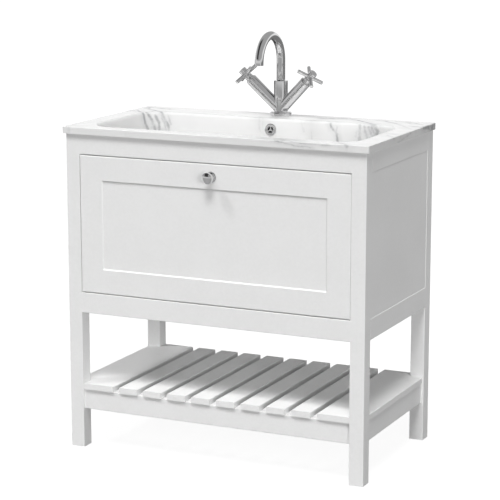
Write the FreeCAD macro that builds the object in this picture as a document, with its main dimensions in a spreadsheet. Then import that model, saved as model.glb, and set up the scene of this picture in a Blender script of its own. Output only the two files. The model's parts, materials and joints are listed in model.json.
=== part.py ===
import FreeCAD, Part
import math
import os
import Sketcher

# Floor standing vanity unit: painted frame with one deep drawer, slatted shelf, basin and mixer tap.
# X runs to the right, Y to the wall and Z up. The origin is on the floor, midway in width and depth.
# Lengths are in millimetres and angles in degrees.

doc = FreeCAD.newDocument("VanityUnit")

DRIVING_SIZES = {
    # Whole unit
    "top_height": 822.5,
    "basin_width": 814,
    "basin_depth": 460,
    "basin_edge": 17,
    "basin_corner": 5,
    "basin_side_overhang": 7,
    "basin_front_overhang": 7,
    # Painted frame
    "leg_size": 37,
    "rail_thickness": 22,
    "back_rail_thickness": 18,
    "top_rail_height": 50.5,
    "bottom_rail_height": 52,
    "opening_height": 350,
    "side_panel_thickness": 9,
    "side_panel_recess": 1,
    "floor_thickness": 9,
    "floor_setback": 12,
    "arris": 1.5,
    # Screw glides under the legs
    "glide_height": 1,
    "glide_radius": 14,
    # Shelf
    "shelf_top": 168,
    "slat_thickness": 15,
    "slat_width": 50,
    "slat_gap": 17.5,
    "slat_inset": 2,
    "slat_side_inset": 3.5,
    "leg_notch_clearance": 0.3,
    "shelf_rail_height": 52,
    "shelf_rail_thickness": 20,
    "shelf_rail_setback": 7,
    # Drawer front and box
    "front_gap": 2,
    "front_side_gap": 1.2,
    "front_thickness": 20,
    "front_round": 2,
    "front_border": 60,
    "front_sinking": 3,
    "box_board": 12,
    "box_height": 160,
    "box_lift": 19,
    "box_back_gap": 15,
    "box_bottom_thickness": 8,
    "box_bottom_lift": 12,
    "groove_depth": 6,
    "groove_clearance": 0.2,
    # Three part side runners
    "runner_space": 12.7,
    "runner_height": 45,
    "runner_lift": 66,
    "runner_shortfall": 5,
    "runner_start": 3,
    "runner_sheet": 1.2,
    "runner_lip": 8.5,
    "runner_gap": 0.3,
    "batten_height": 60,
    # Screws
    "screw_radius": 2,
    "screw_head_radius": 3.8,
    "runner_screw_length": 18,
    "side_screw_length": 10,
    "screw_clearance": 0.05,
    "screw_hole_spare": 0.5,
    "runner_screw_inset": 47.5,
    "front_screw_length": 22,
    "front_screw_inset": 80,
    "front_screw_spacing": 90,
    # Knob
    "knob_drop": 31,
    "knob_reach": 29,
    "knob_foot_radius": 13.5,
    "knob_foot_height": 2,
    "knob_foot_flare": 6,
    "knob_waist_radius": 6.5,
    "knob_head_radius": 14,
    "knob_head_height": 12,
    "knob_head_round": 5,
    "knob_head_back_round": 3,
    "knob_screw_depth": 12,
    # Bowl
    "bowl_leg_gap": 0.5,
    "bowl_rail_gap": 4,
    "bowl_back_ledge": 105,
    "bowl_depth": 120,
    "bowl_corner": 55,
    "bowl_floor_round": 35,
    "bowl_rim_round": 8,
    "bowl_wall": 11,
    # Overflow
    "overflow_drop": 28.5,
    "overflow_bore_radius": 12,
    "overflow_ring_radius": 15.5,
    "overflow_ring_inner_radius": 8,
    "overflow_ring_lip": 2,
    "overflow_sleeve_radius": 11,
    "overflow_sleeve_length": 8,
    "overflow_hub_radius": 3,
    "overflow_spoke": 3.2,
    "duct_half_width": 30,
    "duct_depth": 26,
    "duct_wall": 8,
    "duct_bore": 10,
    "duct_head": 14,
    # Waste
    "waste_from_wall": 190,
    "waste_boss_radius": 46,
    "waste_boss_drop": 34,
    "waste_hole_radius": 23,
    "waste_flange_radius": 32,
    "waste_flange_height": 3,
    "waste_flange_clearance": 0.5,
    "waste_thread_radius": 20.95,
    "waste_shank_radius": 21.6,
    "waste_shank_reach": 2,
    "waste_bore_radius": 17.5,
    "waste_length": 86,
    "waste_slot_width": 10,
    "waste_nut_radius": 29,
    "waste_nut_height": 10,
    "waste_washer_radius": 31,
    "waste_washer_height": 3,
    "thread_clearance": 0.05,
    "plug_radius": 29,
    "plug_height": 5,
    "plug_round": 3,
    "plug_stem_radius": 5,
    "plug_stem_length": 40,
    "plug_seat_gap": 0.3,
    "guide_bar_width": 6,
    "guide_bar_height": 8,
    "guide_boss_radius": 8,
    "guide_drop": 20,
    # Tap body
    "tap_from_wall": 44.5,
    "tap_hole_radius": 17.5,
    "tap_base_radius": 27.5,
    "tap_base_height": 11,
    "tap_base_round": 3,
    "tap_base_bore_radius": 16.5,
    "tap_socket_depth": 7,
    "tap_socket_clearance": 0.05,
    "tap_body_radius": 17.75,
    "tap_body_height": 91.5,
    "arm_radius": 14.5,
    "arm_length": 110,
    "arm_start_lift": 16.1,
    "cartridge_radius": 11,
    "cartridge_length": 42,
    "cartridge_clearance": 0.05,
    "inlet_radius": 5,
    "inlet_depth": 14,
    "inlet_spacing": 15,
    "inlet_set_back": 5,
    "stud_radius": 4,
    "stud_length": 70,
    "stud_grip": 14,
    "stud_set_forward": 8,
    "horseshoe_radius": 23,
    "horseshoe_thickness": 3,
    "horseshoe_slot": 26,
    "stud_nut_radius": 7.5,
    "stud_nut_height": 7,
    # Spout
    "spout_radius": 11,
    "spout_bore_radius": 9,
    "spout_bend": 67,
    "spout_riser": 53,
    "spout_tip": 3,
    "spout_plug_radius": 10,
    "spout_plug_bore_radius": 7,
    "spout_plug_length": 22,
    "spout_fit": 0.05,
    "spout_lift": 0.3,
    "straightener_bore_radius": 7,
    "straightener_set_back": 1,
    "straightener_bar": 1,
    # Cross handles
    "handle_cross_distance": 128.3,
    "handle_gap": 0.4,
    "handle_neck_radius": 10.2,
    "handle_hub_radius": 7.5,
    "handle_hub_half_height": 6.5,
    "handle_bar_radius": 4.8,
    "handle_bar_reach": 38,
    "handle_bar_round": 1.2,
    "handle_cap_radius": 10.3,
    "handle_cap_reach": 16,
    "handle_cap_round": 1.5,
    "handle_flare_width": 2.5,
    "handle_flare_height": 3.5,
    "handle_flare_lip": 1,
    "spindle_radius": 4,
    "spindle_depth": 14,
    "spindle_fit": 0.05,
    # Wall fixing holes in the back top rail
    "wall_hole_radius": 4,
    "wall_hole_from_centre": 300,
    # One overrun serves all cuts
    "overrun": 2,
}

DRIVING_ANGLES = {
    "bowl_taper": 6,
    "front_bevel": 45,
    "arm_rise": 44.4,
    "arm_sweep": 12,
    "handle_turn_left": 43,
    "handle_turn_right": 52,
}

# Plain slats on each side of the middle, besides the notched one at the end
SLAT_COUNT = 4

DERIVED_PLACES = {
    # Depth, from the knob to the wall
    "wall_face": "(sizes.basin_depth - sizes.basin_front_overhang + sizes.knob_reach) / 2",
    "basin_front": "wall_face - sizes.basin_depth",
    "front_face": "basin_front + sizes.basin_front_overhang",
    "behind_front": "front_face + sizes.front_thickness",
    # Width
    "basin_half": "sizes.basin_width / 2",
    "frame_half": "basin_half - sizes.basin_side_overhang",
    "leg_inner": "frame_half - sizes.leg_size",
    "rail_length": "2 * leg_inner",
    "legs_front_back": "front_face + sizes.leg_size",
    "side_length": "wall_face - front_face - 2 * sizes.leg_size",
    # Height
    "slab_bottom": "sizes.top_height - sizes.basin_edge",
    "leg_height": "slab_bottom - sizes.glide_height",
    "opening_top": "slab_bottom - sizes.top_rail_height",
    "opening_bottom": "opening_top - sizes.opening_height",
    "underside_height": "opening_bottom - sizes.bottom_rail_height",
    "side_panel_outer": "frame_half - sizes.side_panel_recess",
    "side_panel_inner": "side_panel_outer - sizes.side_panel_thickness",
    # Shelf
    "shelf_bottom": "sizes.shelf_top - sizes.slat_thickness",
    "shelf_rail_bottom": "shelf_bottom - sizes.shelf_rail_height",
    "slat_front": "front_face + sizes.slat_inset",
    "slat_length": "wall_face - front_face - 2 * sizes.slat_inset",
    "slat_pitch": "sizes.slat_width + sizes.slat_gap",
    "end_slat_inner": "%d * slat_pitch + sizes.slat_gap / 2" % SLAT_COUNT,
    "end_slat_outer": "frame_half - sizes.slat_side_inset",
    "end_slat_notch": "leg_inner - sizes.leg_notch_clearance",
    "notch_depth": "sizes.leg_size - sizes.slat_inset + sizes.leg_notch_clearance",
    # Drawer
    "front_half": "leg_inner - sizes.front_side_gap",
    "front_bottom": "opening_bottom + sizes.front_gap",
    "front_height": "sizes.opening_height - 2 * sizes.front_gap",
    "knob_height": "opening_top - sizes.front_gap - sizes.knob_drop",
    "box_half": "leg_inner - sizes.runner_space",
    "box_inner_half": "box_half - sizes.box_board",
    "box_bottom": "opening_bottom + sizes.box_lift",
    "box_back": "wall_face - sizes.back_rail_thickness - sizes.box_back_gap",
    "box_length": "box_back - behind_front",
    "groove_height": "sizes.box_bottom_thickness + 2 * sizes.groove_clearance",
    "groove_lift": "sizes.box_bottom_lift - sizes.groove_clearance",
    "panel_reach": "sizes.groove_depth - sizes.groove_clearance",
    # Runners
    "runner_axis": "box_bottom + sizes.runner_lift",
    "runner_front": "behind_front + sizes.runner_start",
    "runner_length": "box_length - sizes.runner_shortfall",
    "batten_thickness": "side_panel_inner - leg_inner",
    # Bowl
    "bowl_half_width": "leg_inner - sizes.bowl_wall - sizes.bowl_leg_gap",
    "bowl_front": "front_face + sizes.rail_thickness + sizes.bowl_rail_gap + sizes.bowl_wall",
    "bowl_back": "wall_face - sizes.bowl_back_ledge",
    "bowl_floor": "sizes.top_height - sizes.bowl_depth",
    "bowl_underside": "bowl_floor - sizes.bowl_wall",
    "shell_half": "bowl_half_width + sizes.bowl_wall",
    "shell_front": "bowl_front - sizes.bowl_wall",
    "shell_back": "bowl_back + sizes.bowl_wall",
    "overflow_height": "sizes.top_height - sizes.overflow_drop",
    "overflow_wall": "bowl_back - sizes.overflow_drop * tan(sizes.bowl_taper * 1deg)",
    "boss_bottom": "bowl_floor - sizes.waste_boss_drop",
    "waste_y": "wall_face - sizes.waste_from_wall",
    "duct_outer": "bowl_back + sizes.duct_depth",
    "duct_inner": "duct_outer - sizes.duct_wall",
    "duct_floor": "boss_bottom + sizes.duct_wall",
    "waste_top": "bowl_floor",
    "waste_tail": "bowl_floor - sizes.waste_length",
    "waste_washer_bottom": "boss_bottom - sizes.waste_washer_height",
    "waste_nut_bottom": "waste_washer_bottom - sizes.waste_nut_height",
    "waste_shoulder": "waste_nut_bottom - sizes.waste_shank_reach",
    # Tap
    "tap_y": "wall_face - sizes.tap_from_wall",
    "tap_foot": "sizes.top_height + sizes.tap_base_height - sizes.tap_socket_depth",
    "arm_outward": "cos(sizes.arm_rise * 1deg) * cos(sizes.arm_sweep * 1deg)",
    "arm_forward": "cos(sizes.arm_rise * 1deg) * sin(sizes.arm_sweep * 1deg)",
    "arm_upward": "sin(sizes.arm_rise * 1deg)",
    "tap_body_top": "sizes.top_height + sizes.tap_body_height",
    "arm_start_height": "sizes.top_height + sizes.arm_start_lift",
    "spout_seat": "tap_body_top + sizes.spout_lift",
    "spout_bend_height": "tap_body_top + sizes.spout_riser",
}


def fill_sheet(name, cells, lead):
    """Write one alias and its content on each row of a new sheet."""
    sheet = doc.addObject("Spreadsheet::Sheet", name)
    for row, (alias, content) in enumerate(cells.items(), start=1):
        sheet.set("A%d" % row, alias)
        sheet.set("B%d" % row, lead + str(content))
        sheet.setAlias("B%d" % row, alias)
    doc.recompute()
    return sheet


DRIVING = {**DRIVING_SIZES, **DRIVING_ANGLES}
sizes = fill_sheet("sizes", DRIVING, "")
places = fill_sheet("places", DERIVED_PLACES, "=")


def value(name):
    """The present value of a driving size or a derived place."""
    sheet = sizes if name in DRIVING else places
    return float(getattr(sheet, name))


def words_of(text):
    return text.replace("(", " ( ").replace(")", " ) ").split()


def linked(text):
    """A formula in plain size names, with each name led by its sheet."""
    leads = {word: "sizes." for word in DRIVING}
    leads.update({word: "places." for word in DERIVED_PLACES})
    return " ".join(leads.get(word, "") + word for word in words_of(text))


def number(text):
    """The present value of a formula in plain size names."""
    named = [word in DRIVING or word in DERIVED_PLACES for word in words_of(text)]
    parts = ["(%.9f)" % value(word) if known else word
             for word, known in zip(words_of(text), named)]
    return float(FreeCAD.Units.Quantity(" ".join(parts)).Value)


def bind(item, **formulas):
    """Bind properties to formulas. A double underscore in a name stands for a dot."""
    for name, text in formulas.items():
        path = name.replace("__", ".")
        item.setExpression("." + path if "." in path else path, linked(text))
    return item


def place(item, x, y, z):
    """Bind a sub-part's position."""
    bind(item, Placement__Base__x=x, Placement__Base__y=y, Placement__Base__z=z)
    return item


def new_body(label, x="0", y="0", z="0"):
    body = doc.addObject("PartDesign::Body", label)
    body.Label = label
    place(body, x, y, z)
    return body


def plane_of(body, role):
    return next(item for item in body.Origin.OriginFeatures if item.Role == role)


def new_sketch(body, role="XY_Plane", offset="0"):
    sketch = body.newObject("Sketcher::SketchObject", "Sketch")
    sketch.AttachmentSupport = [(plane_of(body, role), "")]
    sketch.MapMode = "FlatFace"
    bind(sketch, AttachmentOffset__Base__z=offset)
    return sketch


# Two faces or edges nearer than this are taken as level
CLOSE = 1e-3
# A line that strays less than this share of its length is taken as straight
TRUE_SHARE = 1e-6
# How a sketch counts its points and its own axes
START_POINT, END_POINT, CENTRE_POINT = range(1, 4)
HORIZONTAL_AXIS, VERTICAL_AXIS = range(-1, -3, -1)
ORIGIN_POINT = (HORIZONTAL_AXIS, START_POINT)
ALONG_X, ALONG_Y, ALONG_Z = range(3)


def pin_point(sketch, shape, point, x, y):
    """Hold a point of a sketch at a bound distance from each axis."""
    for text, kind, axis in ((x, "DistanceX", VERTICAL_AXIS), (y, "DistanceY", HORIZONTAL_AXIS)):
        if text == "0":
            sketch.addConstraint(Sketcher.Constraint("PointOnObject", shape, point, axis))
            continue
        held = Sketcher.Constraint(kind, *ORIGIN_POINT, shape, point, number(text))
        index = sketch.addConstraint(held)
        sketch.setExpression("Constraints[%d]" % index, linked(text))


def polygon(sketch, corners):
    """A closed outline through corners, each given as two formulas."""
    first = sketch.GeometryCount
    spots = [FreeCAD.Vector(number(x), number(y), 0) for x, y in corners]
    count = len(corners)
    for index in range(count):
        sketch.addGeometry(Part.LineSegment(spots[index], spots[(index + 1) % count]), False)
    for index in range(count):
        here = first + index
        after = first + (index + 1) % count
        sketch.addConstraint(Sketcher.Constraint("Coincident", here, END_POINT, after, START_POINT))
    for index, (x, y) in enumerate(corners):
        pin_point(sketch, first + index, START_POINT, x, y)
    return sketch


def rectangle(sketch, left, right, low, high):
    return polygon(sketch, [(left, low), (right, low), (right, high), (left, high)])


def rounded_rectangle(sketch, left, right, low, high, radius):
    """A rectangle with four equal rounded corners, drawn anticlockwise from its low edge."""
    bend = number(radius)
    near_x, far_x = number(left), number(right)
    near_y, far_y = number(low), number(high)
    runs = (
        ((near_x + bend, near_y), (far_x - bend, near_y)),
        ((far_x, near_y + bend), (far_x, far_y - bend)),
        ((far_x - bend, far_y), (near_x + bend, far_y)),
        ((near_x, far_y - bend), (near_x, near_y + bend)),
    )
    centres = (
        (far_x - bend, near_y + bend),
        (far_x - bend, far_y - bend),
        (near_x + bend, far_y - bend),
        (near_x + bend, near_y + bend),
    )
    upright = FreeCAD.Vector(0, 0, 1)
    for (start, end), middle in zip(runs, centres):
        turned = len(sketch.Geometry) // 2 * math.pi / 2 - math.pi / 2
        line = Part.LineSegment(FreeCAD.Vector(*start, 0), FreeCAD.Vector(*end, 0))
        whole = Part.Circle(FreeCAD.Vector(*middle, 0), upright, bend)
        sketch.addGeometry(line, False)
        sketch.addGeometry(Part.ArcOfCircle(whole, turned, turned + math.pi / 2), False)
    for index in range(0, 8, 2):
        after = (index + 2) % 8
        sketch.addConstraint(
            Sketcher.Constraint("Tangent", index, END_POINT, index + 1, START_POINT))
        sketch.addConstraint(
            Sketcher.Constraint("Tangent", index + 1, END_POINT, after, START_POINT))
        sketch.addConstraint(
            Sketcher.Constraint("Vertical" if index % 4 else "Horizontal", index))
        if index:
            sketch.addConstraint(Sketcher.Constraint("Equal", 1, index + 1))
    held = sketch.addConstraint(Sketcher.Constraint("Radius", 1, bend))
    sketch.setExpression("Constraints[%d]" % held, linked(radius))
    for index, kind, text in ((0, "DistanceY", low), (2, "DistanceX", right),
                              (4, "DistanceY", high), (6, "DistanceX", left)):
        held = sketch.addConstraint(
            Sketcher.Constraint(kind, *ORIGIN_POINT, index, START_POINT, number(text)))
        sketch.setExpression("Constraints[%d]" % held, linked(text))
    return sketch


def circle(sketch, x, y, radius):
    spot = FreeCAD.Vector(number(x), number(y), 0)
    index = sketch.addGeometry(Part.Circle(spot, FreeCAD.Vector(0, 0, 1), number(radius)), False)
    pin_point(sketch, index, CENTRE_POINT, x, y)
    held = sketch.addConstraint(Sketcher.Constraint("Radius", index, number(radius)))
    sketch.setExpression("Constraints[%d]" % held, linked(radius))
    return sketch


def pad(body, sketch, length, backwards=False, both=False, taper="0"):
    feature = body.newObject("PartDesign::Pad", "Pad")
    feature.Profile = sketch
    bind(feature, Length=length, TaperAngle=taper)
    feature.Reversed = backwards
    feature.Midplane = both
    return feature


def pocket(body, sketch, length, backwards=False, both=False, taper="0"):
    feature = body.newObject("PartDesign::Pocket", "Pocket")
    feature.Profile = sketch
    bind(feature, Length=length, TaperAngle=taper)
    feature.Reversed = backwards
    feature.Midplane = both
    return feature


def turn(body, sketch, role="Z_Axis"):
    """Revolve a half profile about one of the body's axes."""
    feature = body.newObject("PartDesign::Revolution", "Revolution")
    feature.Profile = sketch
    feature.ReferenceAxis = (plane_of(body, role), [""])
    feature.Angle = 360
    return feature


def round_edges(body, feature, radius, chosen):
    """Fillet the edges of the last feature that the test chooses."""
    doc.recompute()
    names = []
    for index, edge in enumerate(feature.Shape.Edges, start=1):
        if chosen(edge):
            names.append("Edge%d" % index)
    fillet = body.newObject("PartDesign::Fillet", "Fillet")
    fillet.Base = (feature, names)
    bind(fillet, Radius=radius)
    return fillet


def runs_along(edge, axis):
    """Whether a straight edge runs along an axis, given as its place in X, Y, Z."""
    start, end = edge.firstVertex().Point, edge.lastVertex().Point
    step = end - start
    across = [abs(step[other]) for other in range(3) if other != axis]
    return abs(step[axis]) > 0 and max(across) < abs(step[axis]) * TRUE_SHARE


def board(label, x, y, z, size_x, size_y, size_z, long_axis, eased=lambda edge: True):
    """A plain board with its long edges eased, or those of them that the test chooses."""
    body = new_body(label, x, y, z)
    sketch = rectangle(new_sketch(body), "0", size_x, "0", size_y)
    block = pad(body, sketch, size_z)
    round_edges(body, block, "arris",
                lambda edge: runs_along(edge, long_axis) and eased(edge))
    return body


SIDES = (("left", -1), ("right", 1))


# Painted frame

def make_legs():
    """Four square legs. The rails meet the front pair flush, so that edge stays sharp."""
    rows = (("front", "front_face"), ("back", "wall_face - leg_size"))
    for side, sign in SIDES:
        low_x = "leg_inner" if sign > 0 else "0 - frame_half"
        seam = 0 if sign > 0 else value("leg_size")
        for row, low_y in rows:
            def eased(edge, front=row == "front", seam=seam):
                box = edge.BoundBox
                return not (front and box.YMax < CLOSE and abs(box.XMax - seam) < CLOSE)

            board("leg_%s_%s" % (row, side), low_x, low_y, "glide_height",
                  "leg_size", "leg_size", "leg_height", ALONG_Z, eased)


def make_cross_rails():
    rows = (
        ("front_top_rail", "front_face", "rail_thickness", "opening_top", "top_rail_height"),
        ("front_bottom_rail", "front_face", "rail_thickness", "underside_height",
         "bottom_rail_height"),
        ("back_top_rail", "wall_face - back_rail_thickness", "back_rail_thickness", "opening_top",
         "top_rail_height"),
        ("back_bottom_rail", "wall_face - back_rail_thickness", "back_rail_thickness",
         "underside_height", "bottom_rail_height"),
    )
    for label, low_y, thick, low_z, tall in rows:
        board(label, "0 - leg_inner", low_y, low_z, "rail_length", thick, tall, ALONG_X)


def make_sides():
    for side, sign in SIDES:
        rail_x = "frame_half - rail_thickness" if sign > 0 else "0 - frame_half"
        panel_x = "side_panel_inner" if sign > 0 else "0 - side_panel_outer"
        batten_x = "leg_inner" if sign > 0 else "0 - side_panel_inner"
        board("side_top_rail_" + side, rail_x, "legs_front_back", "opening_top",
              "rail_thickness", "side_length", "top_rail_height", ALONG_Y)
        board("side_bottom_rail_" + side, rail_x, "legs_front_back", "underside_height",
              "rail_thickness", "side_length", "bottom_rail_height", ALONG_Y)
        panel = new_body("side_panel_" + side, panel_x, "legs_front_back", "opening_bottom")
        sketch = rectangle(new_sketch(panel), "0", "side_panel_thickness", "0", "side_length")
        pad(panel, sketch, "opening_height")
        board("runner_batten_" + side, batten_x, "legs_front_back",
              "runner_axis - batten_height / 2", "batten_thickness", "side_length",
              "batten_height", ALONG_Y)


def make_cabinet_floor():
    """A thin floor between the bottom rails, cut round the four legs."""
    floor = new_body("cabinet_floor", "0", "front_face", "underside_height + floor_setback")
    wide = "( frame_half - rail_thickness )"
    narrow = "leg_inner"
    depth = "( wall_face - front_face )"
    edge_rows = (
        (narrow, "rail_thickness"),
        (narrow, "leg_size"),
        (wide, "leg_size"),
        (wide, depth + " - leg_size"),
        (narrow, depth + " - leg_size"),
        (narrow, depth + " - back_rail_thickness"),
    )
    right = list(edge_rows)
    left = [("0 - " + x, y) for x, y in reversed(edge_rows)]
    pad(floor, polygon(new_sketch(floor), right + left), "floor_thickness")


def bore_wall_holes(rail):
    """Two holes through the back top rail, for screws into the wall."""
    sketch = new_sketch(rail, "XZ_Plane")
    for side, sign in SIDES:
        middle = "leg_inner + wall_hole_from_centre"
        if sign < 0:
            middle = "leg_inner - wall_hole_from_centre"
        circle(sketch, middle, "top_rail_height / 2", "wall_hole_radius")
    pocket(rail, sketch, "back_rail_thickness + overrun")


def make_glides():
    pads = []
    rows = ("front_face + leg_size / 2", "wall_face - leg_size / 2")
    for side, sign in SIDES:
        for row in rows:
            glide = doc.addObject("Part::Cylinder", "glide")
            bind(glide, Radius="glide_radius", Height="glide_height")
            middle = "frame_half - leg_size / 2"
            place(glide, middle if sign > 0 else "0 - ( %s )" % middle, row, "0")
            pads.append(glide)
    group("leg_glides", pads)


def group(label, members):
    """One node that holds several separate solids."""
    compound = doc.addObject("Part::Compound", label)
    compound.Label = label
    compound.Links = members
    return compound


# Shelf

def make_shelf_rails():
    rail_y = {
        "front": "front_face + shelf_rail_setback",
        "back": "wall_face - shelf_rail_setback - shelf_rail_thickness",
    }
    for row, low_y in rail_y.items():
        board("shelf_rail_" + row, "0 - leg_inner", low_y, "shelf_rail_bottom",
              "rail_length", "shelf_rail_thickness", "shelf_rail_height", ALONG_X)
    outer = "frame_half - shelf_rail_setback"
    for side, sign in SIDES:
        low_x = outer + " - shelf_rail_thickness" if sign > 0 else "0 - ( %s )" % outer
        board("shelf_rail_" + side, low_x, "legs_front_back", "shelf_rail_bottom",
              "shelf_rail_thickness", "side_length", "shelf_rail_height", ALONG_Y)


def make_slats():
    for side, sign in SIDES:
        for place_from_middle in range(1, SLAT_COUNT + 1):
            near = "slat_gap / 2 + %d * slat_pitch" % (place_from_middle - 1)
            low_x = near if sign > 0 else "0 - ( %s ) - slat_width" % near
            board("slat_%s_%d" % (side, place_from_middle), low_x, "slat_front", "shelf_bottom",
                  "slat_width", "slat_length", "slat_thickness", ALONG_Y)


def make_end_slats():
    """The wide outer slats, notched round the legs."""
    full = "( end_slat_outer - end_slat_inner )"
    notch = "( end_slat_notch - end_slat_inner )"
    corners = (
        ("0", "0"),
        (notch, "0"),
        (notch, "notch_depth"),
        (full, "notch_depth"),
        (full, "slat_length - notch_depth"),
        (notch, "slat_length - notch_depth"),
        (notch, "slat_length"),
        ("0", "slat_length"),
    )
    for side, sign in SIDES:
        slat = new_body("end_slat_" + side, "0", "slat_front", "shelf_bottom")
        outline = [("end_slat_inner + " + x, y) for x, y in corners]
        if sign < 0:
            outline = [("0 - end_slat_inner - " + x, y) for x, y in reversed(corners)]
        plank = pad(slat, polygon(new_sketch(slat), outline), "slat_thickness")
        round_edges(slat, plank, "arris", lambda edge: runs_along(edge, ALONG_Y))


# Drawer

def make_drawer_front():
    """One board with a bevelled sunk panel, bored for its screws and the knob."""
    front = new_body("drawer_front", "0", "front_face", "front_bottom")
    face = rectangle(new_sketch(front, "XZ_Plane"), "0 - front_half", "front_half",
                     "0", "front_height")
    block = pad(front, face, "front_thickness", backwards=True)
    outer = value("front_half")
    tall = value("front_height")

    def on_front_rim(edge):
        box = edge.BoundBox
        flat = box.YMax < CLOSE
        rim_x = abs(abs(box.Center.x) - outer) < CLOSE
        rim_z = min(abs(box.Center.z), abs(box.Center.z - tall)) < CLOSE
        return flat and (rim_x or rim_z)

    round_edges(front, block, "front_round", on_front_rim)
    panel = rectangle(new_sketch(front, "XZ_Plane"), "0 - front_half + front_border",
                      "front_half - front_border", "front_border", "front_height - front_border")
    pocket(front, panel, "front_sinking", taper="0 - front_bevel")
    knob_hole = circle(new_sketch(front, "XZ_Plane"), "0", "knob_height - front_bottom",
                       "screw_radius + screw_clearance")
    pocket(front, knob_hole, "front_thickness + overrun")
    pilots = new_sketch(front, "XZ_Plane", "0 - front_thickness")
    for x, z in front_screw_places():
        circle(pilots, x, z + " - front_bottom", "screw_radius + screw_clearance")
    pocket(front, pilots, "front_screw_length - box_board + overrun", backwards=True)


def front_screw_places():
    """Where the screws that hold the drawer front sit, in X and Z."""
    x = "( box_inner_half - front_screw_inset )"
    low = "box_bottom + box_height / 2 - front_screw_spacing / 2"
    high = "box_bottom + box_height / 2 + front_screw_spacing / 2"
    return [(side + x, z) for side in ("-1 * ", "1 * ") for z in (low, high)]


def make_drawer_box():
    for side, sign in SIDES:
        low_x = "box_inner_half" if sign > 0 else "0 - box_half"
        wall = board("drawer_side_" + side, low_x, "behind_front", "box_bottom",
                     "box_board", "box_length", "box_height", ALONG_Y)
        inner = "0" if sign > 0 else "box_board"
        groove = new_sketch(wall, "YZ_Plane", inner)
        rectangle(groove, "0 - overrun", "box_length + overrun", "groove_lift",
                  "groove_lift + groove_height")
        pocket(wall, groove, "groove_depth", backwards=sign > 0)
        holes = new_sketch(wall, "YZ_Plane", "box_board" if sign > 0 else "0")
        for shift in runner_screw_shifts():
            circle(holes, "runner_start + runner_length / 2 + " + shift,
                   "runner_axis - box_bottom", "screw_radius + screw_clearance")
        pocket(wall, holes, "side_screw_length + screw_hole_spare", backwards=sign < 0)
    for label, low_y, groove_y, backwards in (
        ("drawer_box_front", "behind_front", "0 - box_board", True),
        ("drawer_box_back", "box_back - box_board", "0", False),
    ):
        wall = board(label, "0 - box_inner_half", low_y, "box_bottom",
                     "2 * box_inner_half", "box_board", "box_height", ALONG_X)
        groove = new_sketch(wall, "XZ_Plane", groove_y)
        rectangle(groove, "0 - overrun", "2 * box_inner_half + overrun", "groove_lift",
                  "groove_lift + groove_height")
        pocket(wall, groove, "groove_depth", backwards=backwards)
        if label == "drawer_box_front":
            holes = new_sketch(wall, "XZ_Plane", "0 - box_board")
            for x, z in front_screw_places():
                circle(holes, "box_inner_half + " + x, z + " - box_bottom",
                       "screw_radius + screw_clearance")
            pocket(wall, holes, "box_board + overrun", backwards=True)
    bottom = new_body("drawer_bottom", "0", "behind_front + box_board - panel_reach",
                      "box_bottom + box_bottom_lift")
    sheet = rectangle(new_sketch(bottom), "0 - box_inner_half - panel_reach",
                      "box_inner_half + panel_reach", "0",
                      "box_length - 2 * box_board + 2 * panel_reach")
    pad(bottom, sheet, "box_bottom_thickness")


def on_ring(level, radius):
    """A test for the round edge at a level along Y and with a radius."""
    def chosen(edge):
        box = edge.BoundBox
        return (max(abs(box.YMin - level), abs(box.YMax - level)) < CLOSE
                and abs(box.XMax - radius) < CLOSE)
    return chosen


def make_knob():
    """A round head on a waist that flares out to the foot."""
    knob = new_body("knob", "0", "front_face", "knob_height")
    neck_end = "knob_head_height - knob_reach"
    profile = polygon(new_sketch(knob), [
        ("0", "0 - knob_reach"),
        ("knob_head_radius", "0 - knob_reach"),
        ("knob_head_radius", neck_end),
        ("knob_waist_radius", neck_end),
        ("knob_waist_radius", "0 - knob_foot_height"),
        ("knob_foot_radius", "0 - knob_foot_height"),
        ("knob_foot_radius", "0"),
        ("0", "0"),
    ])
    shape = turn(knob, profile, "Y_Axis")
    rings = (
        ("knob_foot_flare", "0 - knob_foot_height", "knob_waist_radius"),
        ("knob_head_back_round", neck_end, "knob_head_radius"),
        ("knob_head_round", "0 - knob_reach", "knob_head_radius"),
    )
    for bend, level, radius in rings:
        shape = round_edges(knob, shape, bend, on_ring(number(level), number(radius)))
    bore = circle(new_sketch(knob, "XZ_Plane"), "0", "0", "screw_radius + screw_clearance")
    pocket(knob, bore, "knob_screw_depth", backwards=True)


# Three part side runners

def runner_screw_shifts():
    """Where a runner's screws sit along it, counted from its middle."""
    end = "( runner_length / 2 - runner_screw_inset )"
    return ["%d * %s" % (step, end) for step in (-1, 0, 1)]


def channel(label, sign, web, tip, half_height, screws_at=None):
    """A sheet channel along Y. Web and tip are distances out from the drawer side."""
    inward = tip[0] == "-"
    body = new_body(label, "0", "runner_front", "runner_axis")
    near, far = web, web + " + runner_sheet"
    end = tip.lstrip("-")
    inner_half = half_height + " - runner_sheet"
    if inward:
        points = [(far, "0 - " + half_height), (far, half_height), (end, half_height),
                  (end, inner_half), (near, inner_half), (near, "0 - ( %s )" % inner_half),
                  (end, "0 - ( %s )" % inner_half), (end, "0 - " + half_height)]
    else:
        points = [(near, "0 - " + half_height), (near, half_height), (end, half_height),
                  (end, inner_half), (far, inner_half), (far, "0 - ( %s )" % inner_half),
                  (end, "0 - ( %s )" % inner_half), (end, "0 - " + half_height)]
    lead = "box_half + " if sign > 0 else "0 - box_half - "
    section = [(lead + "( %s )" % x, z) for x, z in points]
    pad(body, polygon(new_sketch(body, "XZ_Plane"), section), "runner_length", backwards=True)
    if screws_at:
        start = "box_half + %s" % near if sign > 0 else "0 - box_half - ( %s )" % far
        holes = new_sketch(body, "YZ_Plane", start)
        for shift in runner_screw_shifts():
            circle(holes, "runner_length / 2 + " + shift, "0", "screw_head_radius")
        pocket(body, holes, "runner_sheet", backwards=True)
    return body


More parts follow.
